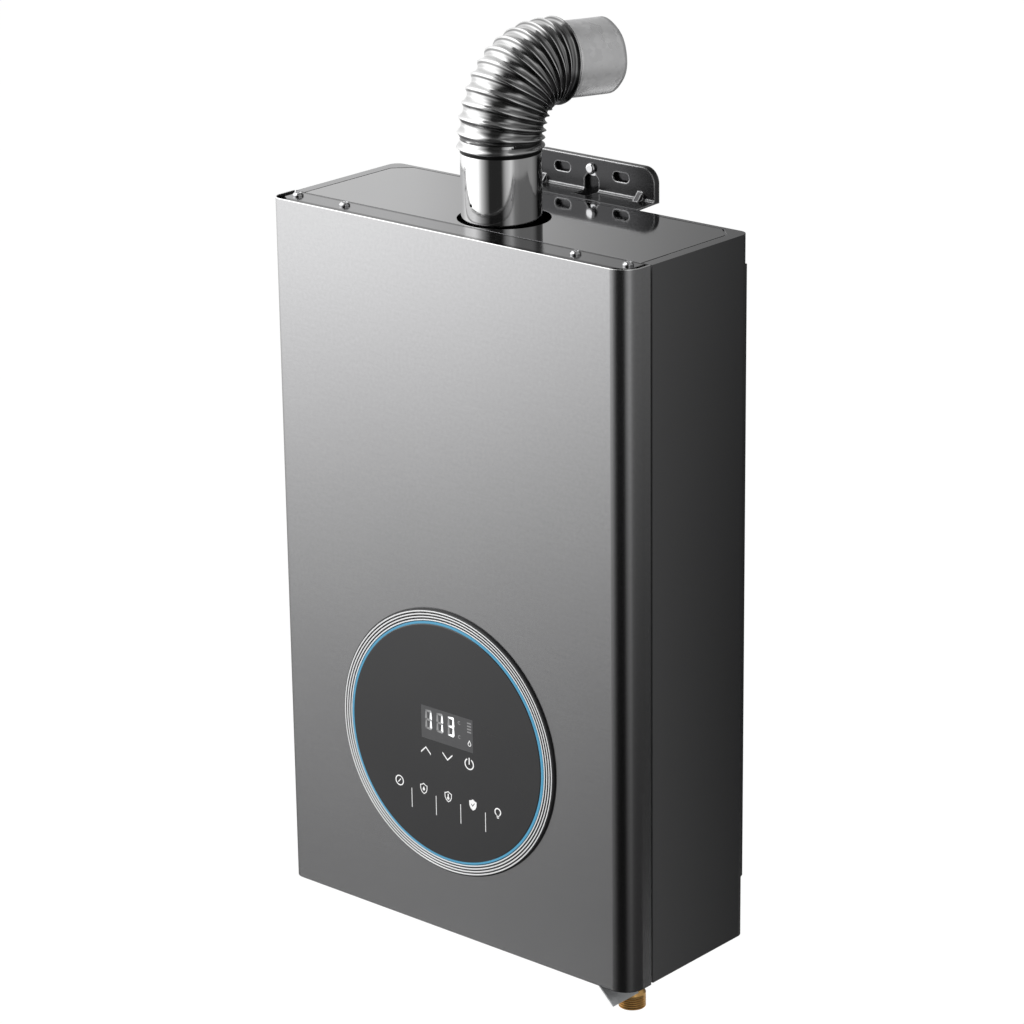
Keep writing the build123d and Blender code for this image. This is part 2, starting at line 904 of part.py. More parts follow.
def flue_collar():
    low = -collar_drop
    high = collar_rise - rest_gap
    wide = flue_radius + collar_flange_width
    inner = flue_radius - flue_wall
    body = Pos(flue_shift, flue_y, top) * turned([
        (inner, low), (wide, low), (wide, low + collar_flange), (flue_radius, low + collar_flange),
        (flue_radius, high), (inner, high)])
    drill = Pos(0, 0, top + collar_hole_rise) * Rot(0, 0, -collar_hole_turn) * rod_y(collar_hole_radius, 0, 0, -wide, 0)
    body -= Pos(flue_shift, flue_y, 0) * drill
    for x, y in collar_screw_places():
        body -= post(screw_radius + screw_fit, x, y, top + low - overrun, top + low + collar_flange + overrun)
    return body


def collar_gasket():
    low = -collar_drop - gasket_thick
    wide = flue_radius + collar_flange_width
    inner = fan_outlet_radius
    body = Pos(flue_shift, flue_y, top) * turned([
        (inner, low), (wide, low), (wide, -collar_drop), (inner, -collar_drop)])
    for x, y in collar_screw_places():
        body -= post(screw_radius + screw_fit, x, y, top + low - overrun, top - collar_drop + overrun)
    return body


heading = math.radians(bend_heading)
level = Vector(math.sin(heading), math.cos(heading), 0)
across = Vector(math.cos(heading), -math.sin(heading), 0)
upward = Vector(0, 0, 1)
elbow_start = Vector(flue_shift, flue_y, top + collar_rise - cuff_length)
bend_lengths = [r * math.radians(a) for r, a in zip(bend_radii, bend_angles)]
elbow_length = bend_lead + sum(bend_lengths) + bend_exit
rib_crest = flue_radius + rib_height


def elbow_plane(travel):
    """The plane square to the elbow's middle line after a length of travel."""
    lead = min(travel, bend_lead)
    place = elbow_start + upward * lead
    rest = travel - lead
    turn = 0
    for radius, length in zip(bend_radii, bend_lengths):
        run = min(rest, length)
        end = turn + run / radius
        place += level * (radius * (math.cos(turn) - math.cos(end)))
        place += upward * (radius * (math.sin(end) - math.sin(turn)))
        turn = end
        rest -= run
    ahead = level * math.sin(turn) + upward * math.cos(turn)
    return Plane(place + ahead * rest, x_dir=across, z_dir=ahead)


def elbow_runs():
    """Each run of the elbow as its length on the middle line and along the outer side."""
    bends = [(n, n * (r + rib_crest) / r) for r, n in zip(bend_radii, bend_lengths)]
    return [(bend_lead, bend_lead)] + bends + [(bend_exit, bend_exit)]


def rib_travel(outside):
    """The travel on the middle line for a length along the outer side."""
    travel = 0
    for middle, outer in elbow_runs():
        run = min(outside, outer)
        travel += run * middle / outer
        outside -= run
    return travel


def rib_sections():
    """Four circles for each rib; the ribs stand evenly along the elbow's outer side."""
    span = sum(outer for middle, outer in elbow_runs()) - rib_start - rib_end
    pitch = span / (rib_count - 1)
    foot = pitch * rib_foot_share
    land = pitch * rib_land_share
    sections = []
    for i in range(rib_count):
        middle = rib_start + pitch * i
        start = rib_travel(max(middle - foot, 0))
        valley = flue_radius + cuff_wall if start < cuff_length else elbow_bore + elbow_wall
        sections.append(elbow_plane(start) * Circle(valley))
        for outside in (middle - land, middle + land):
            sections.append(elbow_plane(rib_travel(outside)) * Circle(rib_crest))
        sections.append(elbow_plane(rib_travel(middle + foot)) * Circle(valley))
    return sections


def flue_elbow():
    body = loft(rib_sections(), ruled=True)
    runs = [Line(elbow_start, elbow_plane(bend_lead).origin)]
    travel = bend_lead
    for length in bend_lengths:
        stops = [elbow_plane(travel + length * share).origin for share in (0, 1 / 2, 1)]
        runs.append(ThreePointArc(*stops))
        travel += length
    runs.append(Line(elbow_plane(travel).origin, elbow_plane(elbow_length).origin))
    body -= sweep(elbow_plane(0) * Circle(elbow_bore), path=Wire(runs))
    return body - extrude(elbow_plane(0) * Circle(flue_radius + running_fit), cuff_length)


def flue_tail():
    """A plain pipe with one end crimped to slip into the elbow."""
    shoulder = tail_socket + tail_stop
    end = shoulder + tail_length
    return elbow_plane(elbow_length - tail_socket) * turned([
        (crimp_radius - tail_wall, 0),
        (crimp_radius, 0),
        (crimp_radius, shoulder),
        (tail_radius, shoulder),
        (tail_radius, end),
        (tail_radius - tail_wall, end),
        (tail_radius - tail_wall, shoulder + tail_wall),
        (crimp_radius - tail_wall, shoulder + tail_wall),
    ])


# Fan and hood
def fan_shape(inset):
    """The fan case's scroll and outlet, drawn in by an inset."""
    near = fan_front + inset
    far = fan_rear - inset
    reach = fan_outlet_half - inset
    outlet = block(flue_shift - reach, flue_shift + reach, near, far, fan_z, fan_top - inset)
    return rod_y(fan_case_radius - inset, fan_x, fan_z, near, far) + outlet


def fan_housing():
    body = fan_shape(0)
    body += block(fan_x - fan_foot_half, fan_x + fan_foot_half, fan_front, fan_rear, hood_top, hood_top + fan_foot)
    body += post(flue_radius + collar_flange_width, flue_shift, flue_y, fan_top - screw_length, fan_top)
    body -= fan_shape(fan_sheet)
    body -= post(fan_outlet_radius, flue_shift, flue_y, fan_top - screw_length - overrun, fan_top + overrun)
    body -= rod_y(fan_inlet_radius, fan_x, fan_z, fan_rear - fan_sheet - overrun, fan_rear + overrun)
    body -= rod_y(shaft_hole, fan_x, fan_z, fan_front - overrun, fan_front + fan_sheet + overrun)
    for x, y in collar_screw_places():
        body -= post(screw_radius + slip_fit, x, y, fan_top - screw_length, fan_top + overrun)
    for x, z in motor_screw_places():
        body -= rod_y(screw_radius + slip_fit, x, z, fan_front - overrun, fan_front + fan_sheet + overrun)
    return body


def motor_screw_places():
    """Where the motor's flange is screwed to the fan case, as (x, z)."""
    reach = (motor_radius + motor_flange_radius) / 2
    turns = [math.radians(90 + i * 360 / motor_screws) for i in range(motor_screws)]
    return [(fan_x + reach * math.cos(t), fan_z + reach * math.sin(t)) for t in turns]


def fan_motor():
    end = fan_front - motor_length
    body = rod_y(motor_radius, fan_x, fan_z, end + motor_cap, fan_front)
    body += rod_y(motor_cap_radius, fan_x, fan_z, end, end + motor_cap)
    body += rod_y(motor_flange_radius, fan_x, fan_z, fan_front - motor_flange, fan_front)
    body -= rod_y(shaft_radius + running_fit, fan_x, fan_z, fan_front - shaft_inside - rest_gap, fan_front + overrun)
    for x, z in motor_screw_places():
        body -= rod_y(screw_radius + screw_fit, x, z, fan_front - motor_flange - overrun, fan_front + overrun)
    return body


def impeller_start():
    return fan_front + fan_sheet + impeller_gap


def fan_shaft():
    start = fan_front - shaft_inside
    return rod_y(shaft_radius, fan_x, fan_z, start, impeller_start() + impeller_disc + hub_length)


def fan_impeller():
    length = fan_case_depth - 2 * (fan_sheet + impeller_gap)
    disc = Cylinder(impeller_radius, impeller_disc, align=FROM_BASE)
    hub = Cylinder(hub_radius, impeller_disc + hub_length, align=FROM_BASE)
    ring = Cylinder(impeller_radius, impeller_disc, align=FROM_BASE)
    ring -= Cylinder(impeller_radius - blade_depth, impeller_disc, align=FROM_BASE)
    middle = impeller_radius - blade_depth / 2 - blade_thick
    blades = []
    for i in range(blade_count):
        blade = Box(blade_depth, blade_thick, length, align=FROM_BASE)
        blades.append(Rot(0, 0, i * 360 / blade_count) * Pos(middle, 0, 0) * Rot(0, 0, blade_tilt) * blade)
    body = disc + [hub, Pos(0, 0, length - impeller_disc) * ring] + blades
    body -= Cylinder(shaft_radius + slip_fit, length, align=FROM_BASE)
    return Pos(fan_x, impeller_start(), fan_z) * Rot(-90, 0, 0) * body


def smoke_hood():
    def shape(inset):
        lower = block(
            stack_left + inset, stack_right - inset, stack_front + inset, stack_rear - inset, hood_z, hood_top - inset)
        plenum = block(
            fan_x - plenum_half + inset, fan_x + plenum_half - inset, fan_rear + inset, stack_rear - inset,
            hood_z, fan_z + plenum_half - inset)
        return lower + plenum
    open_foot = block(
        stack_left + hood_sheet, stack_right - hood_sheet, stack_front + hood_sheet, stack_rear - hood_sheet,
        hood_z - overrun, hood_z + overrun)
    body = shape(0) - shape(hood_sheet) - open_foot
    return body - rod_y(fan_inlet_radius, fan_x, fan_z, fan_rear - overrun, fan_rear + hood_sheet + overrun)


def inner_screws():
    collar = [
        Pos(x, y, top - collar_drop + collar_flange) * screw(inner_screw_length) for x, y in collar_screw_places()]
    motor = [
        Pos(x, fan_front - motor_flange, z) * Rot(90, 0, 0) * screw(motor_flange + fan_sheet)
        for x, z in motor_screw_places()]
    return Compound(children=collar + motor)


# Combustion stack
def duct(z0, z1):
    """A length of the stack's sheet duct, open at both ends."""
    outer = block(stack_left, stack_right, stack_front, stack_rear, z0, z1)
    wall = chamber_sheet
    inner = block(
        stack_left + wall, stack_right - wall, stack_front + wall, stack_rear - wall, z0 - overrun, z1 + overrun)
    return outer - inner


def bar_places():
    return [stack_x + (i - (bar_count - 1) / 2) * bar_pitch for i in range(bar_count)]


def burner_tray():
    body = duct(tray_level, chamber_z)
    body += block(stack_left, stack_right, stack_front, stack_rear, tray_level, tray_level + chamber_sheet)
    for i in range(tray_slots):
        x = stack_x + (i - (tray_slots - 1) / 2) * bar_pitch
        front = stack_front + tray_slot_margin
        rear = stack_rear - tray_slot_margin
        body -= block(
            x - tray_slot_width / 2, x + tray_slot_width / 2, front, rear,
            tray_level - overrun, tray_level + chamber_sheet + overrun)
    for x in bar_places():
        body -= rod_y(jet_radius + screw_fit, x, jet_z, stack_front - overrun, stack_front + chamber_sheet + overrun)
    return body


def burner_bars():
    front = stack_front + chamber_sheet + bar_end_gap
    rear = stack_rear - chamber_sheet - bar_end_gap
    low = tray_level + chamber_sheet
    bar_height = tray_height - chamber_sheet - bar_headroom
    bars = []
    for x in bar_places():
        bar = block(x - bar_width / 2, x + bar_width / 2, front, rear, low, low + bar_height)
        bar -= block(
            x - bar_slot / 2, x + bar_slot / 2, front + bar_end_gap, rear - bar_end_gap,
            low + bar_height - bar_slot_depth, low + bar_height + overrun)
        bars.append(bar - rod_y(venturi_radius, x, jet_z, front - overrun, front + venturi_depth))
    return Compound(children=bars)


def gas_manifold():
    low = jet_z - manifold_height / 2
    near = stack_front - manifold_depth
    left = stack_left + manifold_end
    right = stack_right - manifold_end
    body = block(left, right, near, stack_front, low, low + manifold_height)
    middle = (near + stack_front) / 2
    body -= rod_x(manifold_bore, middle, jet_z, left + manifold_end, right - manifold_end)
    body -= post(tube_radius - tube_wall, gas_shift, middle, low - overrun, jet_z)
    for x in bar_places():
        body -= rod_y(jet_radius + slip_fit, x, jet_z, stack_front - jet_seat, stack_front + overrun)
        body -= rod_y(jet_passage, x, jet_z, middle, stack_front)
    return body


def gas_jets():
    start = stack_front - jet_seat
    return Compound(children=[
        rod_y(jet_radius, x, jet_z, start, start + jet_length)
        - rod_y(jet_radius / 2, x, jet_z, start - overrun, start + jet_length + overrun)
        for x in bar_places()])


def probe(x):
    """A metal rod in a ceramic sleeve, through the chamber's front wall."""
    z = electrode_z
    start = stack_front - sleeve_outside
    sleeve = rod_y(sleeve_radius, x, z, start, start + sleeve_length)
    return sleeve + rod_y(electrode_radius, x, z, start - electrode_tail, start + sleeve_length + electrode_reach)


def probe_places():
    """Two spark electrodes side by side on the left, one flame sensor on the right."""
    shift = chamber_width * electrode_place_share
    sparks = [stack_x - shift + s * electrode_spread for s in (-1, 1)]
    return sparks + [stack_x + shift]


def flame_probes():
    return Compound(children=[probe(x) for x in probe_places()])


def combustion_chamber():
    body = duct(chamber_z, shell_z)
    for x in probe_places():
        body -= rod_y(sleeve_radius + slip_fit, x, electrode_z, stack_front - overrun, stack_front + chamber_sheet + overrun)
    return body


def chamber_brackets():
    brackets = []
    sheet = chamber_bracket_sheet
    for s in (-1, 1):
        x0 = stack_x + s * chamber_width * chamber_bracket_place_share - chamber_bracket_width / 2
        x1 = x0 + chamber_bracket_width
        z0 = chamber_z + chamber_height * chamber_bracket_low_share
        z1 = chamber_z + chamber_height * chamber_bracket_high_share
        channel = block(x0, x1, stack_rear, back_in, z0, z1)
        channel -= block(x0 + sheet, x1 - sheet, stack_rear + sheet, back_in - sheet, z0 - overrun, z1 + overrun)
        brackets.append(channel)
    return Compound(children=brackets)


def thermal_cutout():
    x = stack_x + chamber_width * cutout_place_share
    ear = cutout_ear / 2
    high = cutout_ear_height / 2
    body = rod_y(cutout_radius, x, tube_z, stack_front - cutout_length, stack_front)
    return body + block(x - ear, x + ear, stack_front - cutout_ear_sheet, stack_front, tube_z - high, tube_z + high)


def exchanger_shell():
    body = duct(shell_z, hood_z)
    for y in pass_y:
        body -= rod_x(tube_radius + slip_fit, y, tube_z, stack_left - overrun, stack_right + overrun)
    return body


def exchanger_fins():
    near = stack_front + chamber_sheet + fin_side_gap
    far = stack_rear - chamber_sheet - fin_side_gap
    fin = block(0, fin_thick, near, far, shell_z + fin_headroom, hood_z - fin_headroom)
    for y in pass_y:
        fin -= rod_x(tube_radius + slip_fit, y, tube_z, -overrun, fin_thick + overrun)
    places = [stack_x + (i - (fin_count - 1) / 2) * fin_pitch - fin_thick / 2 for i in range(fin_count)]
    return Compound(children=[Pos(x, 0, 0) * fin for x in places])


def exchanger_tube():
    right = stack_right + tube_lead
    left = stack_left - tube_lead
    edges = []
    here = (joint_right, pass_y[0], tube_z)
    for i, y in enumerate(pass_y):
        end = left if i % 2 == 0 else right
        out = -1 if i % 2 == 0 else 1
        if i == tube_passes - 1:
            edges.append(Line(here, (joint_left, y, tube_z)))
            break
        edges.append(Line(here, (end, y, tube_z)))
        bulge = (end + out * tube_pitch / 2, y + tube_pitch / 2, tube_z)
        here = (end, y + tube_pitch, tube_z)
        edges.append(ThreePointArc((end, y, tube_z), bulge, here))
    path = Wire(edges)
    section = Plane((joint_right, pass_y[0], tube_z), z_dir=(-1, 0, 0)) * (
        Circle(tube_radius) - Circle(tube_radius - tube_wall))
    return sweep(section, path=path)


def pipe_couplings():
    nut = Pos(0, 0, -coupling_length / 2) * hexagon(coupling_across, coupling_length, tube_radius + slip_fit)
    return Compound(children=[
        Pos(joint_right, pass_y[0], tube_z) * Rot(0, 90, 0) * nut,
        Pos(joint_left, pass_y[-1], tube_z) * Rot(0, 90, 0) * nut,
    ])


# Water side
def pipe_fitting(x, y, height, socket):
    """A half-inch male fitting: threaded end, shoulder, neck through the plate, hexagon resting on it."""
    low = -fitting_drop
    points = []
    for i in range(thread_turns):
        for share, radius in zip(thread_shares, (thread_root, thread_radius, thread_radius, thread_root)):
            points.append((radius, low + (i + share) * thread_pitch))
    end = low + thread_turns * thread_pitch
    high = end + shoulder_flat + shoulder_rise
    points += [(thread_radius, end), (thread_radius, end + shoulder_flat)]
    points += [(thread_radius - shoulder_cut, high - shoulder_cut), (relief_radius, high)]
    points += [(relief_radius, -neck_drop), (fitting_neck, -neck_drop), (fitting_neck, height)]
    points += [(socket, height), (socket, height - pipe_socket), (fitting_throat, height - pipe_socket)]
    points += [(fitting_throat, low + filter_depth), (fitting_bore, low + filter_depth), (fitting_bore, low)]
    body = turned(points)
    body += Pos(0, 0, case_sheet) * hexagon(hex_across, hex_height, fitting_neck)
    return Pos(x, y, 0) * body


def inlet_fitting():
    return pipe_fitting(water_shift, water_y, fitting_top, fitting_throat + slip_fit)


def outlet_fitting():
    return pipe_fitting(-outlet_shift, outlet_y, fitting_top, tube_radius + slip_fit)


def gas_fitting():
    return pipe_fitting(gas_shift, gas_y, valve_level, fitting_throat + slip_fit)


def inlet_filter():
    high = filter_depth - fitting_drop
    outer = fitting_bore - slip_fit
    cup = Pos(0, 0, high - filter_length) * Cylinder(outer, filter_length, align=FROM_BASE)
    cup -= Pos(0, 0, high - filter_length) * Cylinder(
        outer - filter_wall, filter_length - filter_wall, align=FROM_BASE)
    for i in range(filter_holes):
        turn = Rot(0, 0, i * 360 / filter_holes)
        cup -= turn * post(filter_hole_radius, filter_hole_place, 0, high - filter_length, high + overrun)
    return Pos(water_shift, water_y, 0) * cup


def flow_sensor_body():
    body = Pos(water_shift, water_y, 0) * turned([
        (fitting_throat, fitting_top),
        (sensor_radius, fitting_top),
        (sensor_radius, sensor_top),
        (tube_radius + slip_fit, sensor_top),
        (tube_radius + slip_fit, sensor_top - pipe_socket),
        (fitting_throat, sensor_top - pipe_socket),
        (fitting_throat, sensor_high),
        (sensor_bore, sensor_high),
        (sensor_bore, sensor_low),
        (fitting_throat, sensor_low),
    ])
    middle = (sensor_low + sensor_high) / 2
    near = water_y - sensor_radius - sensor_plug_depth
    plug = block(
        water_shift - sensor_plug_width / 2, water_shift + sensor_plug_width / 2, near, water_y - sensor_bore - spoke_width,
        middle - sensor_plug_height / 2, middle + sensor_plug_height / 2)
    return body + plug


def rotor_supports():
    reach = sensor_bore - slip_fit
    rim = Cylinder(reach, support_thick, align=FROM_BASE)
    rim -= Cylinder(reach - spoke_width, support_thick, align=FROM_BASE)
    spokes = []
    for i in range(support_spokes):
        spoke = block(0, reach - spoke_width / 2, -spoke_width / 2, spoke_width / 2, 0, support_thick)
        spokes.append(Rot(0, 0, i * 360 / support_spokes) * spoke)
    spider = rim + spokes + [Cylinder(support_hub, support_thick, align=FROM_BASE)]
    spider -= Cylinder(rotor_pin + running_fit, support_thick, align=FROM_BASE)
    return Compound(children=[
        Pos(water_shift, water_y, sensor_low) * spider,
        Pos(water_shift, water_y, sensor_high - support_thick) * spider,
    ])


def turbine_rotor():
    low = sensor_low + support_thick + rest_gap
    high = sensor_high - support_thick - rest_gap
    reach = sensor_bore - rotor_tip_gap
    blade_height = (high - low) * rotor_blade_share
    middle = (low + high) / 2
    body = post(rotor_hub, 0, 0, low, high)
    body += post(rotor_pin, 0, 0, sensor_low + rotor_pin_short, sensor_high - rotor_pin_short)
    blades = []
    for i in range(rotor_blades):
        blade = Pos(reach / 2, 0, middle) * Rot(rotor_blade_tilt, 0, 0) * Box(reach, rotor_blade, blade_height)
        blades.append(Rot(0, 0, i * 360 / rotor_blades) * blade)
    body = (body + blades) & post(reach, 0, 0, sensor_low, sensor_high)
    return Pos(water_shift, water_y, 0) * body


def inlet_pipe():
    start = sensor_top - pipe_socket
    return tube([
        (water_shift, water_y, start),
        (water_shift, water_y, inlet_jog_low),
        (water_shift, pass_y[0], inlet_jog_high),
        (water_shift, pass_y[0], tube_z),
        (joint_right, pass_y[0], tube_z),
    ], pipe_bend, tube_radius, tube_wall)


def outlet_pipe():
    return tube([
        (joint_left, outlet_y, tube_z),
        (-outlet_shift, outlet_y, tube_z),
        (-outlet_shift, outlet_y, fitting_top - pipe_socket),
    ], pipe_bend, tube_radius, tube_wall)


def zinc_tongue():
    near = front_y + tongue_front
    far = near + tongue_width
    left = tongue_right - tongue_reach
    fall = tongue_low - groove
    skin_x = tongue_sheet * fall / math.hypot(tongue_reach, fall)
    skin_z = tongue_sheet * tongue_reach / math.hypot(tongue_reach, fall)
    leaf = prism_y([
        (left, -groove), (tongue_right, -tongue_low), (tongue_right - skin_x, -tongue_low - skin_z),
        (left - skin_x, -groove - skin_z)], near, far)
    foot_y = far - tongue_foot_width
    foot = block(left - tongue_foot, left, foot_y, far, -tongue_sheet, 0)
    web = block(left - 2 * tongue_sheet, left, near, far, -groove - tongue_sheet, -groove)
    return leaf + web + foot


# Gas side
def gas_valve_body():
    body = block(
        valve_left, valve_right, gas_y - valve_depth / 2, gas_y + valve_depth / 2, valve_level, valve_top)
    body -= post(fitting_throat, gas_shift, gas_y, valve_level - overrun, valve_top + overrun)
    depth = plunger_seat + rest_gap
    bore = plunger_radius + running_fit
    body -= rod_x(bore, gas_y, port_z, valve_right - depth, valve_right + overrun)
    body -= rod_x(bore, gas_y, port_z, valve_left - overrun, valve_left + depth)
    return body


def coil(inner_x, side):
    """A solenoid on one side of the valve, bored for its plunger."""
    def along(radius, x0, x1):
        near, far = sorted((inner_x + side * x0, inner_x + side * x1))
        return rod_x(radius, gas_y, port_z, near, far)
    body = along(coil_radius, 0, coil_cheek) + along(coil_radius, coil_length - coil_cheek, coil_length)
    body += along(coil_radius - coil_cheek, 0, coil_length)
    return body - along(plunger_radius + running_fit, -overrun, plunger_room)


def plunger(inner_x, side):
    near, far = sorted((inner_x - side * plunger_seat, inner_x + side * (plunger_length - plunger_seat)))
    return rod_x(plunger_radius, gas_y, port_z, near, far)


def valve_coils():
    return Compound(children=[coil(valve_right, 1), coil(valve_left, -1)])


def shutoff_plunger():
    return plunger(valve_right, 1)


def regulator_plunger():
    return plunger(valve_left, -1)


def gas_pipe():
    middle = stack_front - manifold_depth / 2
    bend_z = valve_top + gas_pipe_rise
    return tube([
        (gas_shift, gas_y, valve_top),
        (gas_shift, gas_y, bend_z),
        (gas_shift, middle, bend_z),
        (gas_shift, middle, jet_z - manifold_height / 2),
    ], gas_pipe_bend, tube_radius, tube_wall)


# Electrical pieces
def control_box():
    near = back_in - box_depth
    outer = block(box_left, box_right, near, back_in, box_low, box_low + box_height)
    return outer - block(
        box_left + box_wall, box_right - box_wall, near - overrun, back_in - box_wall,
        box_low + box_wall, box_low + box_height - box_wall)


def control_lid():
    near = back_in - box_depth - lid_thick
    body = block(box_left, box_right, near, near + lid_thick, box_low, box_low + box_height)
    return fillet(body.edges().filter_by(Axis.Y), box_wall)


def main_board():
    left = box_left + box_wall + board_margin
    right = box_right - box_wall - board_margin
    low = box_low + box_wall + board_margin
    high = box_low + box_height - box_wall - board_margin
    rear = back_in - box_wall - board_standoff
    body = block(left, right, rear - board_thick, rear, low, high)
    middle = (low + high) / 2
    for share in relay_shares:
        z = middle + share * (high - low)
        x = (left + right) / 2
        body += block(
            x - relay_width / 2, x + relay_width / 2, rear - board_thick - relay_depth, rear - board_thick,
            z - relay_height / 2, z + relay_height / 2)
    for x in (left + board_margin, right - board_margin):
        for z in (low + board_margin, high - board_margin):
            body += rod_y(screw_radius, x, z, rear, rear + board_standoff)
    return body


def igniter_module():
    body = block(
        igniter_left, igniter_left + igniter_width, back_in - igniter_depth, back_in,
        igniter_low, igniter_low + igniter_height)
    return fillet(body.edges().filter_by(Axis.Y), igniter_round)


def pressure_switch():
    front = back_in - switch_depth
    body = rod_y(switch_radius, switch_x, switch_z, front, back_in)
    port = rod_y(switch_port_radius, switch_x, switch_z, front - switch_port, front)
    bore = rod_y(switch_port_radius / 2, switch_x, switch_z, front - switch_port - overrun, front)
    return body + port - bore


def cable_gland():
    x, y = -gland_shift, -gland_back
    body = post(gland_radius, x, y, -gland_drop, gland_rise)
    body += post(gland_flange, x, y, -gland_flange_height, 0)
    return body - post(gland_bore, x, y, -gland_drop - overrun, gland_rise + overrun)


makers = [
    rear_case, top_plate, bottom_plate, front_cover, cover_screws, hanging_bracket, wall_plate, hanger_stud,
    lower_bracket, bracket_rivets, control_bezel, light_ring, control_glass, display_board, panel_retainer,
    flue_collar, collar_gasket, flue_elbow, flue_tail, fan_housing, fan_motor, fan_shaft, fan_impeller,
    smoke_hood, inner_screws, burner_tray, burner_bars, gas_manifold, gas_jets, combustion_chamber,
    flame_probes, chamber_brackets, thermal_cutout, exchanger_shell, exchanger_fins, exchanger_tube, pipe_couplings,
    inlet_fitting, outlet_fitting, gas_fitting, inlet_filter, flow_sensor_body, rotor_supports, turbine_rotor,
    inlet_pipe, outlet_pipe, zinc_tongue, gas_valve_body, valve_coils, shutoff_plunger,
    regulator_plunger, gas_pipe, control_box, control_lid, main_board, igniter_module,
    pressure_switch, cable_gland,
]
pieces = {maker.__name__: maker() for maker in makers}

# The middle of the wall slots, on the wall, becomes the origin
to_wall = Pos(-bracket_shift, -wall_y, -slot_z)
for name, piece in pieces.items():
    export_step(to_wall * piece, f"parts/{name}.step")
print(len(pieces), "nodes")
mouth = elbow_plane(elbow_length)
print("flue mouth", to_wall.position + mouth.origin, "heading", mouth.z_dir)
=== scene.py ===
# %% [markdown]
# # Dressing a wall-hung gas water heater
# The heater's sheet metal, pipes and screws come ready made from the CAD model, each as its own
# object in metres. This lesson lights them like a studio picture, gives every piece its finish, and
# models what a CAD solid shows too plainly: the pulled-out flue elbow, its dented tail and the lit marks
# on the round touch panel.

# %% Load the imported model
import json
import math

import bmesh
import bpy
from mathutils import Matrix, Vector


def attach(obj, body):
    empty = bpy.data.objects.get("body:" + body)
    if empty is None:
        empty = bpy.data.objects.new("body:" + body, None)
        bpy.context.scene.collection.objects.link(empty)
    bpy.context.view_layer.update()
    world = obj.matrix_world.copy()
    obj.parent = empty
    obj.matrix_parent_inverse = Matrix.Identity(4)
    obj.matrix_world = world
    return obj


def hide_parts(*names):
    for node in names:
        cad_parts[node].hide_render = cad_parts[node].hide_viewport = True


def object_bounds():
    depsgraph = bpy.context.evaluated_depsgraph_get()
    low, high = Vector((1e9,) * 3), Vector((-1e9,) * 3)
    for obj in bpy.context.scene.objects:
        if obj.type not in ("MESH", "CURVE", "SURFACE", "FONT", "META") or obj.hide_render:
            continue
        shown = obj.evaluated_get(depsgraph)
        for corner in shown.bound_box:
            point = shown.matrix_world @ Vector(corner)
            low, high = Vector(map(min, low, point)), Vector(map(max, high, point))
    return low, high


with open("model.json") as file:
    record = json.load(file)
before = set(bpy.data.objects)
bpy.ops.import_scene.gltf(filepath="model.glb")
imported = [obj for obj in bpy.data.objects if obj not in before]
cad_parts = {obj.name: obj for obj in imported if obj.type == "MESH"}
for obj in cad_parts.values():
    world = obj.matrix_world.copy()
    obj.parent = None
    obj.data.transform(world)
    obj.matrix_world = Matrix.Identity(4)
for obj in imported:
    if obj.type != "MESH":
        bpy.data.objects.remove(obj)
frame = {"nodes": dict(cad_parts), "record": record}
cad_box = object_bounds()
nodes = frame["nodes"]
mm = 0.001

# %% [markdown]
# ## The camera
# The picture was taken from the right of the heater and a little above it, with a long lens, so the
# upright edges stay nearly parallel. A camera can be turned with Euler angles, but building its matrix
# from three directions makes it plain which way is right, up and back.

# %% Place the camera
def camera_matrix(azimuth, elevation, roll, place):
    """The camera's place and turn; azimuth 0 looks straight at the front."""
    a, e, r = (math.radians(angle) for angle in (azimuth, elevation, roll))
    back = Vector((math.sin(a) * math.cos(e), -math.cos(a) * math.cos(e), math.sin(e)))
    level = Vector((math.cos(a), math.sin(a), 0))
    over = back.cross(level)
    right = level * math.cos(r) + over * math.sin(r)
    up = over * math.cos(r) - level * math.sin(r)
    turn = Matrix((right, up, back)).transposed().to_4x4()
    return Matrix.Translation(place) @ turn


view_azimuth = 41.0995
view_elevation = 19.068
view_roll = -0.7818
camera_place = (1.760118, -2.119923, 0.680836)
lens = bpy.data.cameras.new("long_lens")
lens.lens = 131.95
lens.sensor_width = 36.0
lens.dof.use_dof = False
camera = bpy.data.objects.new("camera", lens)
camera.matrix_world = camera_matrix(view_azimuth, view_elevation, view_roll, camera_place)
bpy.context.scene.collection.objects.link(camera)
bpy.context.scene.camera = camera
print("camera looks along", [round(v, 3) for v in -camera.matrix_world.col[2].xyz])

# %% [markdown]
# ## Sums on sockets
# A finish is a small network of nodes. Linking each one by hand hides the idea behind the bookkeeping,
# so one class wraps an output socket: an arithmetic or a comparison sign adds a Math node, and every other
# node comes from its `node` method.

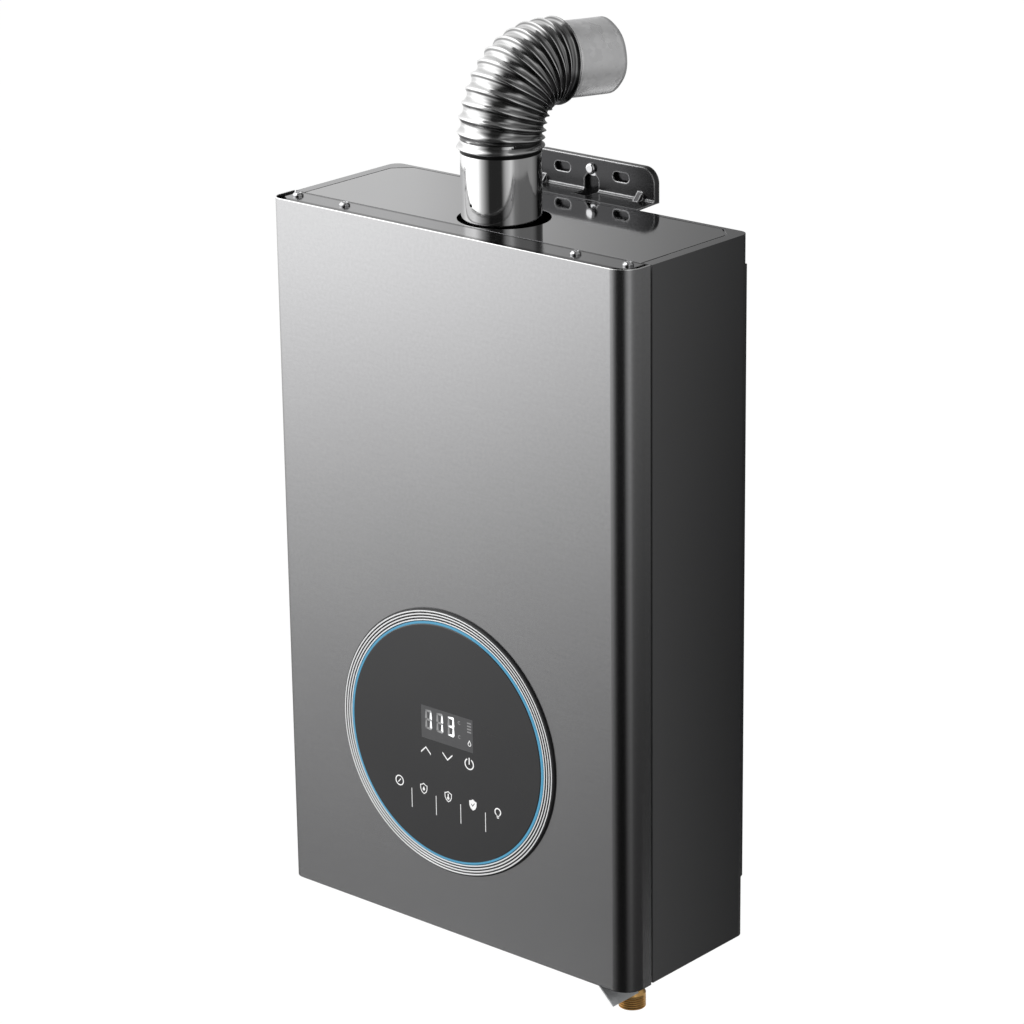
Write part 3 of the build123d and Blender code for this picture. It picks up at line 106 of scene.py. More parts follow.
# %% A socket that takes part in sums
class Flow:
    """An output socket; arithmetic with it adds Math nodes to its tree."""

    def __init__(self, socket):
        self.socket = socket

    def node(self, kind, settings=None, sockets=None, out=0):
        """Adds a node: its settings first, then values or links for its sockets."""
        tree = self.socket.id_data
        made = tree.nodes.new("ShaderNode" + kind)
        for name, value in (settings or {}).items():
            if name == "stops":
                elements = made.color_ramp.elements
                elements[0].position = value[0][0]
                elements[1].position = value[-1][0]
                for position, _ in value[1:-1]:
                    elements.new(position)
                for element, (_, grey) in zip(elements, value):
                    element.color = (grey, grey, grey, 1)
            else:
                setattr(made, name, value)
        for name, value in (sockets or {}).items():
            if isinstance(value, Flow):
                tree.links.new(made.inputs[name], value.socket)
            else:
                made.inputs[name].default_value = value
        return Flow(made.outputs[out])

    def math(self, operation, first, second=0.0):
        """Adds a Math node; an operation on one value takes no notice of the second."""
        return self.node("Math", {"operation": operation}, {0: first, 1: second})

    def __add__(self, other):
        return self.math("ADD", self, other)

    def __radd__(self, other):
        return self.math("ADD", other, self)

    def __sub__(self, other):
        return self.math("SUBTRACT", self, other)

    def __rsub__(self, other):
        return self.math("SUBTRACT", other, self)

    def __mul__(self, other):
        return self.math("MULTIPLY", self, other)

    def __rmul__(self, other):
        return self.math("MULTIPLY", other, self)

    def __rpow__(self, other):
        return self.math("POWER", other, self)

    def __lt__(self, other):
        return self.math("LESS_THAN", self, other)

    def __gt__(self, other):
        return self.math("GREATER_THAN", self, other)

    def __abs__(self):
        return self.math("ABSOLUTE", self)

    def limited(self, most):
        """The value, but no more than a limit."""
        return self.math("MINIMUM", self, most)

    def fraction(self):
        """What is left of the value after its whole number."""
        return self.math("FRACT", self)

    def along(self, axis):
        """One of a vector's three numbers."""
        return self.node("SeparateXYZ", None, {"Vector": self}, axis)


def first_flow(tree, kind, out):
    """Starts a network from a node that needs no input."""
    return Flow(tree.nodes.new("ShaderNode" + kind).outputs[out])


print("socket sums ready")

# %% [markdown]
# ## The studio
# A catalogue picture stands its subject on white. The world is white to the camera, to mirrors and to
# glass, and a plain soft level for everything else. The floor is well below the heater, since the real one
# hangs on a wall, and it keeps the heater's faint shadow.

# %% World and floor
def backdrop_rays(tree):
    """1 for the rays that see the backdrop itself: from the camera, a mirror or glass."""
    rays = tree.nodes.new("ShaderNodeLightPath")
    seen = Flow(rays.outputs["Is Camera Ray"]) + Flow(rays.outputs["Is Glossy Ray"])
    seen = seen + Flow(rays.outputs["Is Transmission Ray"])
    return seen.limited(1.0)


world_level = 0.62
world = bpy.data.worlds.new("white_studio")
world.use_nodes = True
bpy.context.scene.world = world
background = world.node_tree.nodes["Background"]
background.inputs["Color"].default_value = (1, 1, 1, 1)
brightness = backdrop_rays(world.node_tree) * (1 - world_level) + world_level
world.node_tree.links.new(background.inputs["Strength"], brightness.socket)


def stage_piece(name, bm, material):
    """Makes a floor or a card from a bmesh; it isn't part of the heater."""
    mesh = bpy.data.meshes.new(name)
    bm.to_mesh(mesh)
    bm.free()
    piece = bpy.data.objects.new(name, mesh)
    mesh.materials.append(material)
    bpy.context.scene.collection.objects.link(piece)
    return piece


floor_drop = 0.75
floor_reach = 15
floor_white = 1.03
floor_glow_share = 0.95
floor_z = cad_box[0].z - floor_drop
floor_paint = bpy.data.materials.new("floor_paint")
floor_paint.use_nodes = True
tree = floor_paint.node_tree
shader = tree.nodes["Principled BSDF"]
shader.inputs["Base Color"].default_value = (0.86, 0.86, 0.86, 1)
shader.inputs["Roughness"].default_value = 0.9
shader.inputs["Specular IOR Level"].default_value = 0.0
seen = backdrop_rays(tree)
glow = seen.node("Emission", None, {"Color": (1, 1, 1, 1), "Strength": floor_white})
mixed = seen.node("MixShader", None, {0: seen * floor_glow_share, 1: Flow(shader.outputs[0]), 2: glow})
tree.links.new(tree.nodes["Material Output"].inputs["Surface"], mixed.socket)
bm = bmesh.new()
floor_place = Matrix.Translation((0, 0, floor_z))
bmesh.ops.create_grid(bm, x_segments=1, y_segments=1, size=floor_reach, matrix=floor_place)
stage_piece("floor", bm, floor_paint)
print("floor is", floor_drop, "m below the heater")

# %% [markdown]
# ## What the metal mirrors
# Polished metal has hardly any colour of its own: it shows the studio. A ring of cards stands round the
# heater, a large soft light at the left, a black flag in front, a narrow strip light at the right, and
# dim cards behind. They could be separate boards, but one drum with a colour ramp round it is easier to
# tune. The drum is fainter towards its foot, which gives the front its fade from light to dark. A dark
# board lies on its foot and a grey one closes its top, as flags do in a studio. Only mirrors see them, so
# painted pieces keep an even light.

# %% The ring of cards
def points_of(geometry):
    """The points among what an operator made."""
    return [part for part in geometry if isinstance(part, bmesh.types.BMVert)]


drum_radius = 1.5
drum_foot = floor_z + 0.02
drum_height = 5.2
drum_segments = 96
fade_base = 24.0
fade_from = -0.52
fade_share = 0.74
fade_least = 0.122
fade_most = 1.25
card_strength = 2.0
card_stops = [
    (0.0, 0.55), (0.04, 0.8), (0.145, 0.91), (0.18, 0.61), (0.21, 0.29), (0.245, 0.09), (0.27, 0.01),
    (0.36, 0.01), (0.39, 0.2), (0.43, 0.34), (0.46, 0.16), (0.5, 0.12), (0.63, 0.12), (0.69, 0.03),
    (0.75, 0.03), (0.83, 0.08), (0.85, 0.14), (0.866, 0.25), (0.884, 0.41), (0.93, 0.42), (1.0, 0.55),
]
card_paint = bpy.data.materials.new("card_paint")
card_paint.use_nodes = True
tree = card_paint.node_tree
place = first_flow(tree, "TexCoord", "Object")
turn = place.node("TexGradient", {"gradient_type": "RADIAL"}, {"Vector": place}, "Fac")
shade = turn.node("ValToRGB", {"stops": card_stops}, {"Fac": turn}, "Color")
fade = fade_base ** (place.along("Z") - fade_from) * fade_share + fade_least
lit = shade.node("Emission", None, {"Color": shade, "Strength": fade.limited(fade_most) * card_strength})
tree.links.new(tree.nodes["Material Output"].inputs["Surface"], lit.socket)
bm = bmesh.new()
foot_place = Matrix.Translation((0, 0, drum_foot))
bmesh.ops.create_circle(bm, segments=drum_segments, radius=drum_radius, matrix=foot_place)
wall = bmesh.ops.extrude_edge_only(bm, edges=bm.edges[:])["geom"]
bmesh.ops.translate(bm, verts=points_of(wall), vec=(0, 0, drum_height))
cards = [stage_piece("card_drum", bm, card_paint)]
print("drum:", drum_radius, "m away")

# %% Boards above and below
boards = (
    ("foot_flag", Vector((0.6, -0.45, drum_foot)), 1.5, 0.06),
    ("ceiling_card", Vector((0, 0, drum_foot + drum_height)), drum_radius, 0.15),
)
for name, middle, reach, grey in boards:
    board_paint = bpy.data.materials.new(name + "_paint")
    board_paint.use_nodes = True
    tree = board_paint.node_tree
    lit = first_flow(tree, "TexCoord", "Object").node("Emission", None, {"Color": (grey, grey, grey, 1)})
    tree.links.new(tree.nodes["Material Output"].inputs["Surface"], lit.socket)
    bm = bmesh.new()
    board_place = Matrix.Translation(middle)
    bmesh.ops.create_circle(bm, cap_ends=True, segments=drum_segments, radius=reach, matrix=board_place)
    cards.append(stage_piece(name, bm, board_paint))
for card in cards:
    for visibility in ("camera", "diffuse", "transmission", "shadow", "volume_scatter"):
        setattr(card, "visible_" + visibility, False)
print("cards:", len(cards), "pieces, seen by mirrors alone")

# %% [markdown]
# ## The lamps
# Two large area lamps add direction to the even light: one high at the front left, as the photographer's
# main light, and a weaker one from the right. Their own shapes are kept out of the mirrors, where the
# cards already do that work.

# %% Two soft lamps
def soft_lamp(name, place, target, size, power):
    """A round area lamp that mirrors don't see, aimed at a target."""
    light = bpy.data.lights.new(name, "AREA")
    light.shape = "DISK"
    light.size = size
    light.energy = power
    lamp = bpy.data.objects.new(name, light)
    aim = (Vector(target) - Vector(place)).to_track_quat("-Z", "Y")
    lamp.matrix_world = Matrix.Translation(place) @ aim.to_matrix().to_4x4()
    lamp.visible_glossy = False
    bpy.context.scene.collection.objects.link(lamp)


middle = (cad_box[0] + cad_box[1]) / 2
soft_lamp("main_lamp", (-1.3, -1.7, 1.5), middle, size=1.4, power=42)
soft_lamp("side_lamp", (2.2, -0.6, 0.8), middle, size=1.2, power=14)
bpy.context.scene.view_settings.view_transform = "Standard"
print("two lamps aimed at", [round(v, 2) for v in middle])

# %% [markdown]
# ## Starting a finish
# Every finish is a Principled shader. What is the same all over a surface is set on the shader's own
# sockets. What changes over it reads Object coordinates, which are metres on the heater, so grain keeps
# its real size. A Bevel node stands in for the small round that every folded or cut edge has, and that
# catches the light.

# %% Helpers for finishes
def new_finish(name, fixed):
    """A Principled material with its fixed values, and the flow of places on the surface."""
    material = bpy.data.materials.new(name)
    material.use_nodes = True
    tree = material.node_tree
    shader = tree.nodes["Principled BSDF"]
    for socket, value in fixed.items():
        shader.inputs[socket].default_value = value
    return material, first_flow(tree, "TexCoord", "Object")


def feed(material, sockets):
    """Links flows to the shader's sockets."""
    shader = material.node_tree.nodes["Principled BSDF"]
    for name, flow in sockets.items():
        material.node_tree.links.new(shader.inputs[name], flow.socket)


def noise(place, scale, stretch=(1, 1, 1), detail=3.0):
    """Soft noise between 0 and 1, in grains per metre, drawn out along an axis by a small stretch."""
    drawn = place.node("Mapping", None, {"Vector": place, "Scale": stretch})
    return drawn.node("TexNoise", None, {"Vector": drawn, "Scale": scale, "Detail": detail}, "Fac")


def two_tone(factor, first, second):
    """A colour between two, by a factor; each is three numbers or a flow of its own."""
    ends = [end if isinstance(end, Flow) else (*end, 1) for end in (first, second)]
    return factor.node("Mix", {"data_type": "RGBA"}, {0: factor, 6: ends[0], 7: ends[1]}, 2)


def rounded(place, radius):
    """Normals as if every edge had a small round."""
    return place.node("Bevel", {"samples": 6}, {"Radius": radius})


def facing(place):
    """The way that each face looks."""
    return place.node("NewGeometry", None, None, "Normal")


least_upward = 0.9


def upward_faces(place):
    """1 on faces that look nearly straight up, 0 elsewhere."""
    return facing(place).along("Z") > least_upward


def bumped(height, distance, normal):
    """Normals that follow a height, over others."""
    return height.node("Bump", None, {"Height": height, "Distance": distance, "Normal": normal})


finishes = {}
print("helpers ready")

# %% [markdown]
# ## The brushed front
# The cover is one sheet of gunmetal-coloured steel, brushed so finely that the lines only soften its
# reflections. Bump alone would sparkle at this distance, so the lines change the roughness and the colour
# a little, and hardly the height. The narrow flange on top was never brushed as much and mirrors more, so
# faces that look upwards are smoother. The sheet's rim gets a painted highlight, and painted shade darkens
# the fold behind it and the seam at the flange's other edge: both follow from the place on the heater.

# %% Brushed front
rim_start = -0.0142
fold_end = -0.1636
seam_start = -0.1462
gap_shade = (0.03, 0.03, 0.03)
rim_highlight = (0.9, 0.9, 0.9)
brush_depth = 0.00001
cover_round = 0.0007
brushed, place = new_finish("brushed_front", {"Metallic": 1.0})
lines = noise(place, 60, (1.2, 40, 40), 4.0)
grain = noise(place, 380, detail=2.0)
cloud = noise(place, 7)
flange = upward_faces(place)
tone = lines * 0.35 + grain * 0.4 + cloud * 0.25
rough = 0.20 + lines * 0.06 + cloud * 0.03 - flange * 0.1
plain = two_tone(tone, (0.295, 0.295, 0.299), (0.415, 0.415, 0.419))
folded = two_tone(tone, (0.19, 0.19, 0.194), (0.23, 0.23, 0.234))
depth = place.along("Y")
# Painted shade: a dark line in the fold behind the rim and in the seam at the flange's far edge.
gap_shade_mask = (depth < fold_end) + (depth > seam_start)
gap_shaded = two_tone(gap_shade_mask * flange, two_tone(flange, plain, folded), gap_shade)
feed(brushed, {
    # Painted highlight: the rim above rim_start is near white.
    "Base Color": two_tone(place.along("Z") > rim_start, gap_shaded, rim_highlight),
    "Roughness": rough,
    "Normal": bumped(lines, brush_depth, rounded(place, cover_round)),
})
finishes["brushed_front"] = brushed
print("front: brushed")

# %% [markdown]
# ## Painted sheet
# The rear case is coated sheet, charcoal with a little metal flake, satin on its sides. The plate set in
# the top is bare sheet in a lighter grey that mirrors the flue, and the case's narrow top flange matches
# it, so faces that look upwards change to the same look. The side falls off in tone towards the wall; a
# lamp close by would do that too, but would light the panel as well, so the paint does it by its place.
# Orange-peel, the faint waviness of sprayed paint, is a bump a few millimetres across.

# %% Case paint and top sheet
sheet_dark = (0.155, 0.155, 0.159)
sheet_light = (0.20, 0.20, 0.204)
paint_dark = (0.026, 0.026, 0.027)
paint_light = (0.070, 0.070, 0.071)
paint_front = -0.145
paint_rear = -0.045
peel_depth = 0.000006
sheet_round = 0.0006
satin = {"Coat Weight": 0.25, "Coat Roughness": 0.06, "Specular IOR Level": 0.35}
case, place = new_finish("case_paint", satin)
flake = noise(place, 900, detail=2.0)
drift = noise(place, 6)
peel = noise(place, 420, detail=1.0)
above = upward_faces(place)
speck = flake * 0.5 + drift * 0.5
nearness = (paint_rear - place.along("Y")) * (1 / (paint_rear - paint_front))
painted = two_tone(nearness * 0.85 + speck * 0.15, paint_dark, paint_light)
bare = two_tone(speck, sheet_dark, sheet_light)
feed(case, {
    "Base Color": two_tone(above, painted, bare),
    "Metallic": 0.35 + above * 0.65,
    "Roughness": 0.36 + drift * 0.06 - above * 0.26,
    "Normal": bumped(peel, peel_depth, rounded(place, sheet_round)),
})
finishes["case_paint"] = case

plate, place = new_finish("top_sheet", {"Metallic": 1.0, "Coat Weight": 0.6, "Coat Roughness": 0.06})
drift = noise(place, 6)
peel = noise(place, 420, detail=1.0)
feed(plate, {
    "Base Color": two_tone(drift, sheet_dark, sheet_light),
    "Roughness": 0.05 + drift * 0.05,
    "Normal": bumped(peel, peel_depth, rounded(place, sheet_round)),
})
finishes["top_sheet"] = plate
print("sheets:", "case_paint", "top_sheet")

# %% [markdown]
# ## Zinc-coated steel
# Hot-dipped sheet shows spangle: flat crystals that each lean a little another way. A Voronoi texture
# cuts the surface into such cells, and each cell shifts the colour and the roughness. The flue's tail has
# one such finish, and the plain sheet pieces have another.

# %% Zinc finishes
smudge_depth = 0.00002


def zinc_sheet(name, dark, light, metal, rough, cell, edge):
    """Zinc-coated sheet with its crystals, in cells per metre."""
    material, place = new_finish(name, {"Metallic": metal})
    cells = place.node("TexVoronoi", {"feature": "F1"}, {"Vector": place, "Scale": cell}, "Color")
    crystal = cells.along("X")
    smudge = noise(place, 25)
    feed(material, {
        "Base Color": two_tone(crystal * 0.5 + smudge * 0.5, dark, light),
        "Roughness": rough + crystal * 0.08 + smudge * 0.06,
        "Normal": bumped(smudge, smudge_depth, rounded(place, edge)),
    })
    finishes[name] = material


zinc_sheet(
    "galvanised", (0.44, 0.45, 0.46), (0.58, 0.59, 0.60), metal=0.4, rough=0.32, cell=240, edge=0.0005)
zinc_sheet(
    "tail_zinc", (0.60, 0.60, 0.605), (0.76, 0.76, 0.765), metal=0.55, rough=0.24, cell=260, edge=0.0004)
print("zinc: galvanised, tail_zinc")

# %% [markdown]
# ## Dark bracket steel
# The brackets are nearly black, with a painted highlight on their bends and edges. A Bevel node finds the
# edges: its normal turns away from the flat one only there, so one minus their dot product is a mask for
# the painted highlight.

# %% Bracket steel
def edge_highlights(place, radius, strength):
    """1 on edges and bends, 0 on flat sheet."""
    ways = {0: facing(place), 1: rounded(place, radius)}
    flat = place.node("VectorMath", {"operation": "DOT_PRODUCT"}, ways, "Value")
    return ((1.0 - flat) * strength).limited(1.0)


highlight_width = 0.0016
highlight_strength = 14.0
edge_highlight_colour = (0.62, 0.62, 0.625)
bracket_round = 0.0008
bracket, place = new_finish("bracket_steel", {"Metallic": 0.9})
smudge = noise(place, 25)
sheet = two_tone(smudge, (0.058, 0.058, 0.060), (0.082, 0.082, 0.084))
feed(bracket, {
    # Painted highlight along the bends and edges.
    "Base Color": two_tone(edge_highlights(place, highlight_width, highlight_strength), sheet, edge_highlight_colour),
    "Roughness": 0.2 + smudge * 0.08,
    "Normal": bumped(smudge, smudge_depth, rounded(place, bracket_round)),
})
finishes["bracket_steel"] = bracket
print("bracket: dark, with worn edges")

# %% [markdown]
# ## Polished metal
# The screws are plated, and copper, aluminium and burner steel are inside. All are mirrors with a fine haze
# from handling.

# %% Polished metals
haze_depth = 0.000006


def polished(name, dark, light, rough, grain, edge, stretch=(1, 1, 1)):
    """Bright metal under a haze of fine scratches."""
    material, place = new_finish(name, {"Metallic": 1.0})
    haze = noise(place, grain, stretch)
    smear = noise(place, 18)
    feed(material, {
        "Base Color": two_tone(smear, dark, light),
        "Roughness": rough + haze * 0.07 + smear * 0.03,
        "Normal": bumped(haze, haze_depth, rounded(place, edge)),
    })
    finishes[name] = material


polished("bright_screw", (0.66, 0.66, 0.67), (0.80, 0.80, 0.81), rough=0.06, grain=500, edge=0.0003)
polished("aluminium", (0.55, 0.55, 0.56), (0.66, 0.66, 0.67), rough=0.32, grain=260, edge=0.0006)
polished(
    "burner_steel", (0.34, 0.33, 0.32), (0.46, 0.45, 0.44), rough=0.30, grain=240, edge=0.0004,
    stretch=(1, 6, 1))
polished("copper", (0.52, 0.23, 0.12), (0.70, 0.36, 0.22), rough=0.24, grain=120, edge=0.0004)
print("polished metals: screws, aluminium, burner steel, copper")

# %% [markdown]
# ## Threaded brass
# The fittings are turned brass. Their threads are real grooves, but at this distance each is about two
# pixels high, so the height within a thread also paints shade into the groove.

# %% Brass
thread_low = -0.6083
thread_high = -0.5974
thread_pitch = 0.001814
crest_share = 0.46
crest_half = 0.32
thread_groove_shade = (0.10, 0.045, 0.012)
thread_round = 0.0001
brass, place = new_finish("brass", {"Metallic": 0.75})
haze = noise(place, 300, (1, 1, 6))
smear = noise(place, 18)
height = place.along("Z")
turns = (height - thread_low) * (1 / thread_pitch)
# Painted shade in the thread grooves.
groove = (abs(turns.fraction() - crest_share) > crest_half) * (height < thread_high)
plain = two_tone(smear, (0.80, 0.46, 0.15), (0.94, 0.60, 0.24))
feed(brass, {
    "Base Color": two_tone(groove, plain, thread_groove_shade),
    "Roughness": 0.14 + haze * 0.07 + smear * 0.03,
    "Normal": bumped(haze, haze_depth, rounded(place, thread_round)),
})
finishes["brass"] = brass
print("brass: threads every", round(thread_pitch / mm, 3), "mm")

# %% [markdown]
# ## Stainless flue
# The collar and the elbow are bright stainless sheet. Where the elbow slips over the collar, a painted
# shade line lies under its rim, so a height on the collar picks it out. The elbow's ribs are rolled; they
# get painted light, bright crests and dark valleys, darkest inside the bend where they crowd: the elbow's
# points carry this painted light as an attribute that its finish reads.

# %% Stainless
joint_line = 0.0368
joint_half = 0.0013
joint_shade = (0.02, 0.02, 0.02)
collar_round = 0.0005
smooth, place = new_finish("stainless", {"Metallic": 1.0})
haze = noise(place, 90, (6, 6, 1))
smear = noise(place, 18)
# Painted shade: a dark line on the collar just under the elbow's rim.
under_rim_shade = abs(place.along("Z") - joint_line) < joint_half
unshaded_steel = two_tone(smear, (0.66, 0.66, 0.66), (0.74, 0.74, 0.74))
feed(smooth, {
    "Base Color": two_tone(under_rim_shade, unshaded_steel, joint_shade),
    "Roughness": 0.05 + haze * 0.07 + smear * 0.03 + under_rim_shade * 0.4,
    "Normal": bumped(haze, haze_depth, rounded(place, collar_round)),
})
finishes["stainless"] = smooth

ribbed, place = new_finish("ribbed_stainless", {"Metallic": 1.0})
haze = noise(place, 120)
smear = noise(place, 18)
# Painted light and shade on the ribs, read from the elbow's points.
painted_light = place.node("Attribute", {"attribute_name": "rib_shine"}, None, "Fac")
feed(ribbed, {
    "Base Color": two_tone(painted_light * 0.9 + smear * 0.1, (0.09, 0.09, 0.09), (0.78, 0.78, 0.78)),
    "Roughness": 0.17 + haze * 0.06 - painted_light * 0.04,
    "Normal": bumped(haze, smudge_depth, facing(place)),
})
print("stainless: smooth and ribbed")

# %% [markdown]
# ## The ridged bezel
# Four turned ridges run round the panel. They are real in the model, but the grooves between them are so
# narrow that they only read as thin dark rings. So the distance from the panel's axis, counted in ridges,
# paints shade into the grooves and onto the outer edge.

# %% Bezel
panel_axis = (-0.0072, 0.0, -0.4125)
ring_edge = 0.0964
ridge_run = 0.0091
ridge_count = 4
ridge_middle = 0.52
ridge_half = 0.24
bezel_groove_shade = 0.95
bezel_round = 0.0002
bezel, place = new_finish("bezel_silver", {"Metallic": 0.35})
centred = place.node("VectorMath", {"operation": "SUBTRACT"}, {0: place, 1: panel_axis})
spread = centred.node("VectorMath", {"operation": "MULTIPLY"}, {0: centred, 1: (1, 0, 1)})
reach = spread.node("VectorMath", {"operation": "LENGTH"}, {0: spread}, "Value")
ridge = (reach - ring_edge) * (ridge_count / ridge_run)
groove = abs(ridge.fraction() - ridge_middle) > ridge_half
# Painted shade in the grooves and past the outer ridge.
bezel_shade = groove.math("MAXIMUM", groove * bezel_groove_shade, reach > ring_edge + ridge_run)
haze = noise(place, 300)
feed(bezel, {
    "Base Color": two_tone(bezel_shade, (0.95, 0.955, 0.96), (0.02, 0.02, 0.021)),
    "Roughness": 0.12 + haze * 0.07 + bezel_shade * 0.3,
    "Normal": bumped(haze, haze_depth, rounded(place, bezel_round)),
})
finishes["bezel_silver"] = bezel
print("bezel:", ridge_count, "ridges")

# %% [markdown]
# ## Panel, plastics and rubber
# The touch panel is a disc of dark backed glass with a lit blue ring round it. The ring is a light guide,
# so it glows a little in its own colour. The rest are moulded pieces inside the case and the rubber gland
# below it, each with the fine texture of its mould.

# %% Glass, ring and moulded pieces
moulded_round = 0.0004
mould_depth = 0.00003
backed_glass = {"Coat Weight": 0.5, "Coat Roughness": 0.03, "Specular IOR Level": 0.4}
glass, place = new_finish("panel_glass", backed_glass)
dust = noise(place, 14)
feed(glass, {
    "Base Color": two_tone(dust, (0.021, 0.021, 0.022), (0.027, 0.027, 0.028)),
    "Roughness": 0.12 + dust * 0.06,
    "Normal": rounded(place, moulded_round),
})
finishes["panel_glass"] = glass

guide, place = new_finish("ring_blue", {"Emission Strength": 0.55, "Roughness": 0.3})
drift = noise(place, 40)
feed(guide, {
    "Base Color": two_tone(drift, (0.03, 0.12, 0.19), (0.04, 0.14, 0.22)),
    "Emission Color": two_tone(drift, (0.09, 0.39, 0.61), (0.11, 0.42, 0.65)),
    "Normal": rounded(place, moulded_round),
})
finishes["ring_blue"] = guide


def moulded(name, dark, light, rough, grain):
    """A moulded piece with the fine texture of its mould."""
    material, place = new_finish(name, {"Specular IOR Level": 0.4})
    texture = noise(place, grain)
    drift = noise(place, 12)
    feed(material, {
        "Base Color": two_tone(drift, dark, light),
        "Roughness": rough + texture * 0.1,
        "Normal": bumped(texture, mould_depth, rounded(place, moulded_round)),
    })
    finishes[name] = material


moulded("board", (0.022, 0.13, 0.065), (0.036, 0.18, 0.09), rough=0.42, grain=700)
moulded("black_plastic", (0.024, 0.024, 0.026), (0.036, 0.036, 0.038), rough=0.45, grain=900)
moulded("white_plastic", (0.66, 0.66, 0.64), (0.74, 0.74, 0.72), rough=0.42, grain=900)
moulded("soft_seal", (0.022, 0.022, 0.022), (0.034, 0.034, 0.034), rough=0.62, grain=800)
moulded("ceramic", (0.74, 0.73, 0.68), (0.82, 0.81, 0.77), rough=0.22, grain=400)
print("finishes:", len(finishes))

# %% [markdown]
# ## Giving the CAD pieces their finishes
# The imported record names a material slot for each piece, and the finishes above carry the same names, so
# one loop dresses the whole heater.

# %% Dress the CAD pieces
for part in frame["record"]["subparts"]:
    mesh = nodes[part["node"]].data
    mesh.materials.clear()
    mesh.materials.append(finishes[part["material_slot"]])

# %% [markdown]
# ## The corrugated elbow
# The real elbow is a thin stainless tube with rolled ribs, bent by hand: gently above the collar, then
# sharply. Its ribs stay even along the outer side and crowd together inside the bend. An Array along a
# curve would keep them even on the middle line. Instead a ring of points is extruded along the elbow's
# line, step by step, and each step gives the ring a new size: wide on a rib, narrow between two. The same
# ring then returns inside as the smooth bore.

# %% The elbow's middle line
collar_foot = Vector((-1.0, -108.0, -14.5)) * mm
elbow_start = collar_foot + Vector((0, 0, 52.5)) * mm
bend_lead = 2.5 * mm
bends = ((72.0 * mm, math.radians(31.0)), (37.0 * mm, math.radians(62.5)))
bend_exit = 8.2 * mm
heading = math.radians(11.0)
elbow_length = bend_lead + sum(radius * angle for radius, angle in bends) + bend_exit
level = Vector((math.sin(heading), math.cos(heading), 0))
across = Vector((math.cos(heading), -math.sin(heading), 0))
upright = Vector((0, 0, 1))


def ring_matrix(travel, radius):
    """Places and sizes a unit ring square to the elbow's line; past its end the line goes straight on."""
    lead = min(travel, bend_lead)
    middle = elbow_start + upright * lead
    rest = travel - lead
    turn = 0.0
    for bend_radius, angle in bends:
        run = min(rest, bend_radius * angle)
        end = turn + run / bend_radius
        middle += level * (math.cos(turn) - math.cos(end)) * bend_radius
        middle += upright * (math.sin(end) - math.sin(turn)) * bend_radius
        turn = end
        rest -= run
    ahead = level * math.sin(turn) + upright * math.cos(turn)
    side = ahead.cross(across)
    turned = Matrix((across * radius, side * radius, ahead * radius)).transposed().to_4x4()
    return Matrix.Translation(middle + ahead * rest) @ turned


print("elbow line:", round(elbow_length / mm, 1), "mm")

# %% A tube made ring by ring
def extruded_rings(places, segments):
    """A bmesh tube through rings given as (travel, radius), closed back on its first ring."""
    bm = bmesh.new()
    here = ring_matrix(*places[0])
    bmesh.ops.create_circle(bm, segments=segments, radius=1.0, matrix=here)
    first = bm.edges[:]
    edges = first
    for travel, radius in places[1:]:
        grown = bmesh.ops.extrude_edge_only(bm, edges=edges)["geom"]
        points = points_of(grown)
        ends = set(points)
        edges = [part for part in grown if isinstance(part, bmesh.types.BMEdge)]
        edges = [edge for edge in edges if ends.issuperset(edge.verts)]
        there = ring_matrix(travel, radius)
        bmesh.ops.transform(bm, matrix=there @ here.inverted(), verts=points)
        here = there
    bmesh.ops.bridge_loops(bm, edges=first + edges)
    bmesh.ops.recalc_face_normals(bm, faces=bm.faces[:])
    return bm


def heater_piece(name, bm, finish, body):
    """Makes a smooth piece of the heater from a bmesh, riding on a body."""
    mesh = bpy.data.meshes.new(name)
    bm.to_mesh(mesh)
    bm.free()
    mesh.shade_smooth()
    mesh.materials.append(finish)
    piece = bpy.data.objects.new(name, mesh)
    bpy.context.scene.collection.objects.link(piece)
    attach(piece, body)
    return piece


print("tube helpers ready")

# %% The elbow's rings
rib_count = 13
rib_start = 1.5 * mm
rib_end = 1.8 * mm
crest = 32.8 * mm
cuff = 31.0 * mm
valley = 30.0 * mm
bore = 27.8 * mm
cuff_length = 7.5 * mm
collar_fit = 30.05 * mm
rib_steps = 16
bore_steps = 24
crest_sharpness = 2.6
crest_wear = 0.2 * mm
wear_turn = 2.4
cuff_light = 0.6
valley_highlight = 0.6
valley_half = 0.2
shaded_from = 0.8
shaded_to = 0.9
crest_underside_shade = -1.0
runs = [(bend_lead, bend_lead)]
runs += [(radius * angle, (radius + crest) * angle) for radius, angle in bends]
runs += [(bend_exit, bend_exit)]


def rib_travel(outside):
    """The travel on the middle line for a length along the outer side."""
    travel = 0.0
    for middle, outer in runs:
        run = min(outside, outer)
        travel += run * middle / outer
        outside -= run
    return travel


outer_length = sum(outer for middle, outer in runs)
pitch = (outer_length - rib_start - rib_end) / (rib_count - 1)
rings = [(0.0, cuff)]
painted_lights = [cuff_light]
for i in range((rib_count - 1) * rib_steps + 1):
    share = i / rib_steps
    from_valley = abs(1 - 2 * (share % 1))
    rise = math.sin(math.pi / 2 * from_valley ** crest_sharpness)
    high = crest - crest_wear * (1 + math.sin(wear_turn * round(share)))
    rings.append((rib_travel(rib_start + pitch * share), valley + (high - valley) * rise))
    # Painted highlight: a second bright line in the middle of each valley.
    painted_light = max(rise, valley_highlight * (1 - from_valley / valley_half))
    # Painted shade: a dark line just below each crest.
    painted_lights.append(crest_underside_shade if shaded_from < share % 1 < shaded_to else painted_light)
rings += [(elbow_length, valley), (elbow_length, bore)]
for i in range(1, bore_steps + 1):
    rings.append((elbow_length + (cuff_length - elbow_length) * i / bore_steps, bore))
rings += [(cuff_length, collar_fit), (0.0, collar_fit)]
print("rings:", len(rings), "of which", len(painted_lights), "outside")
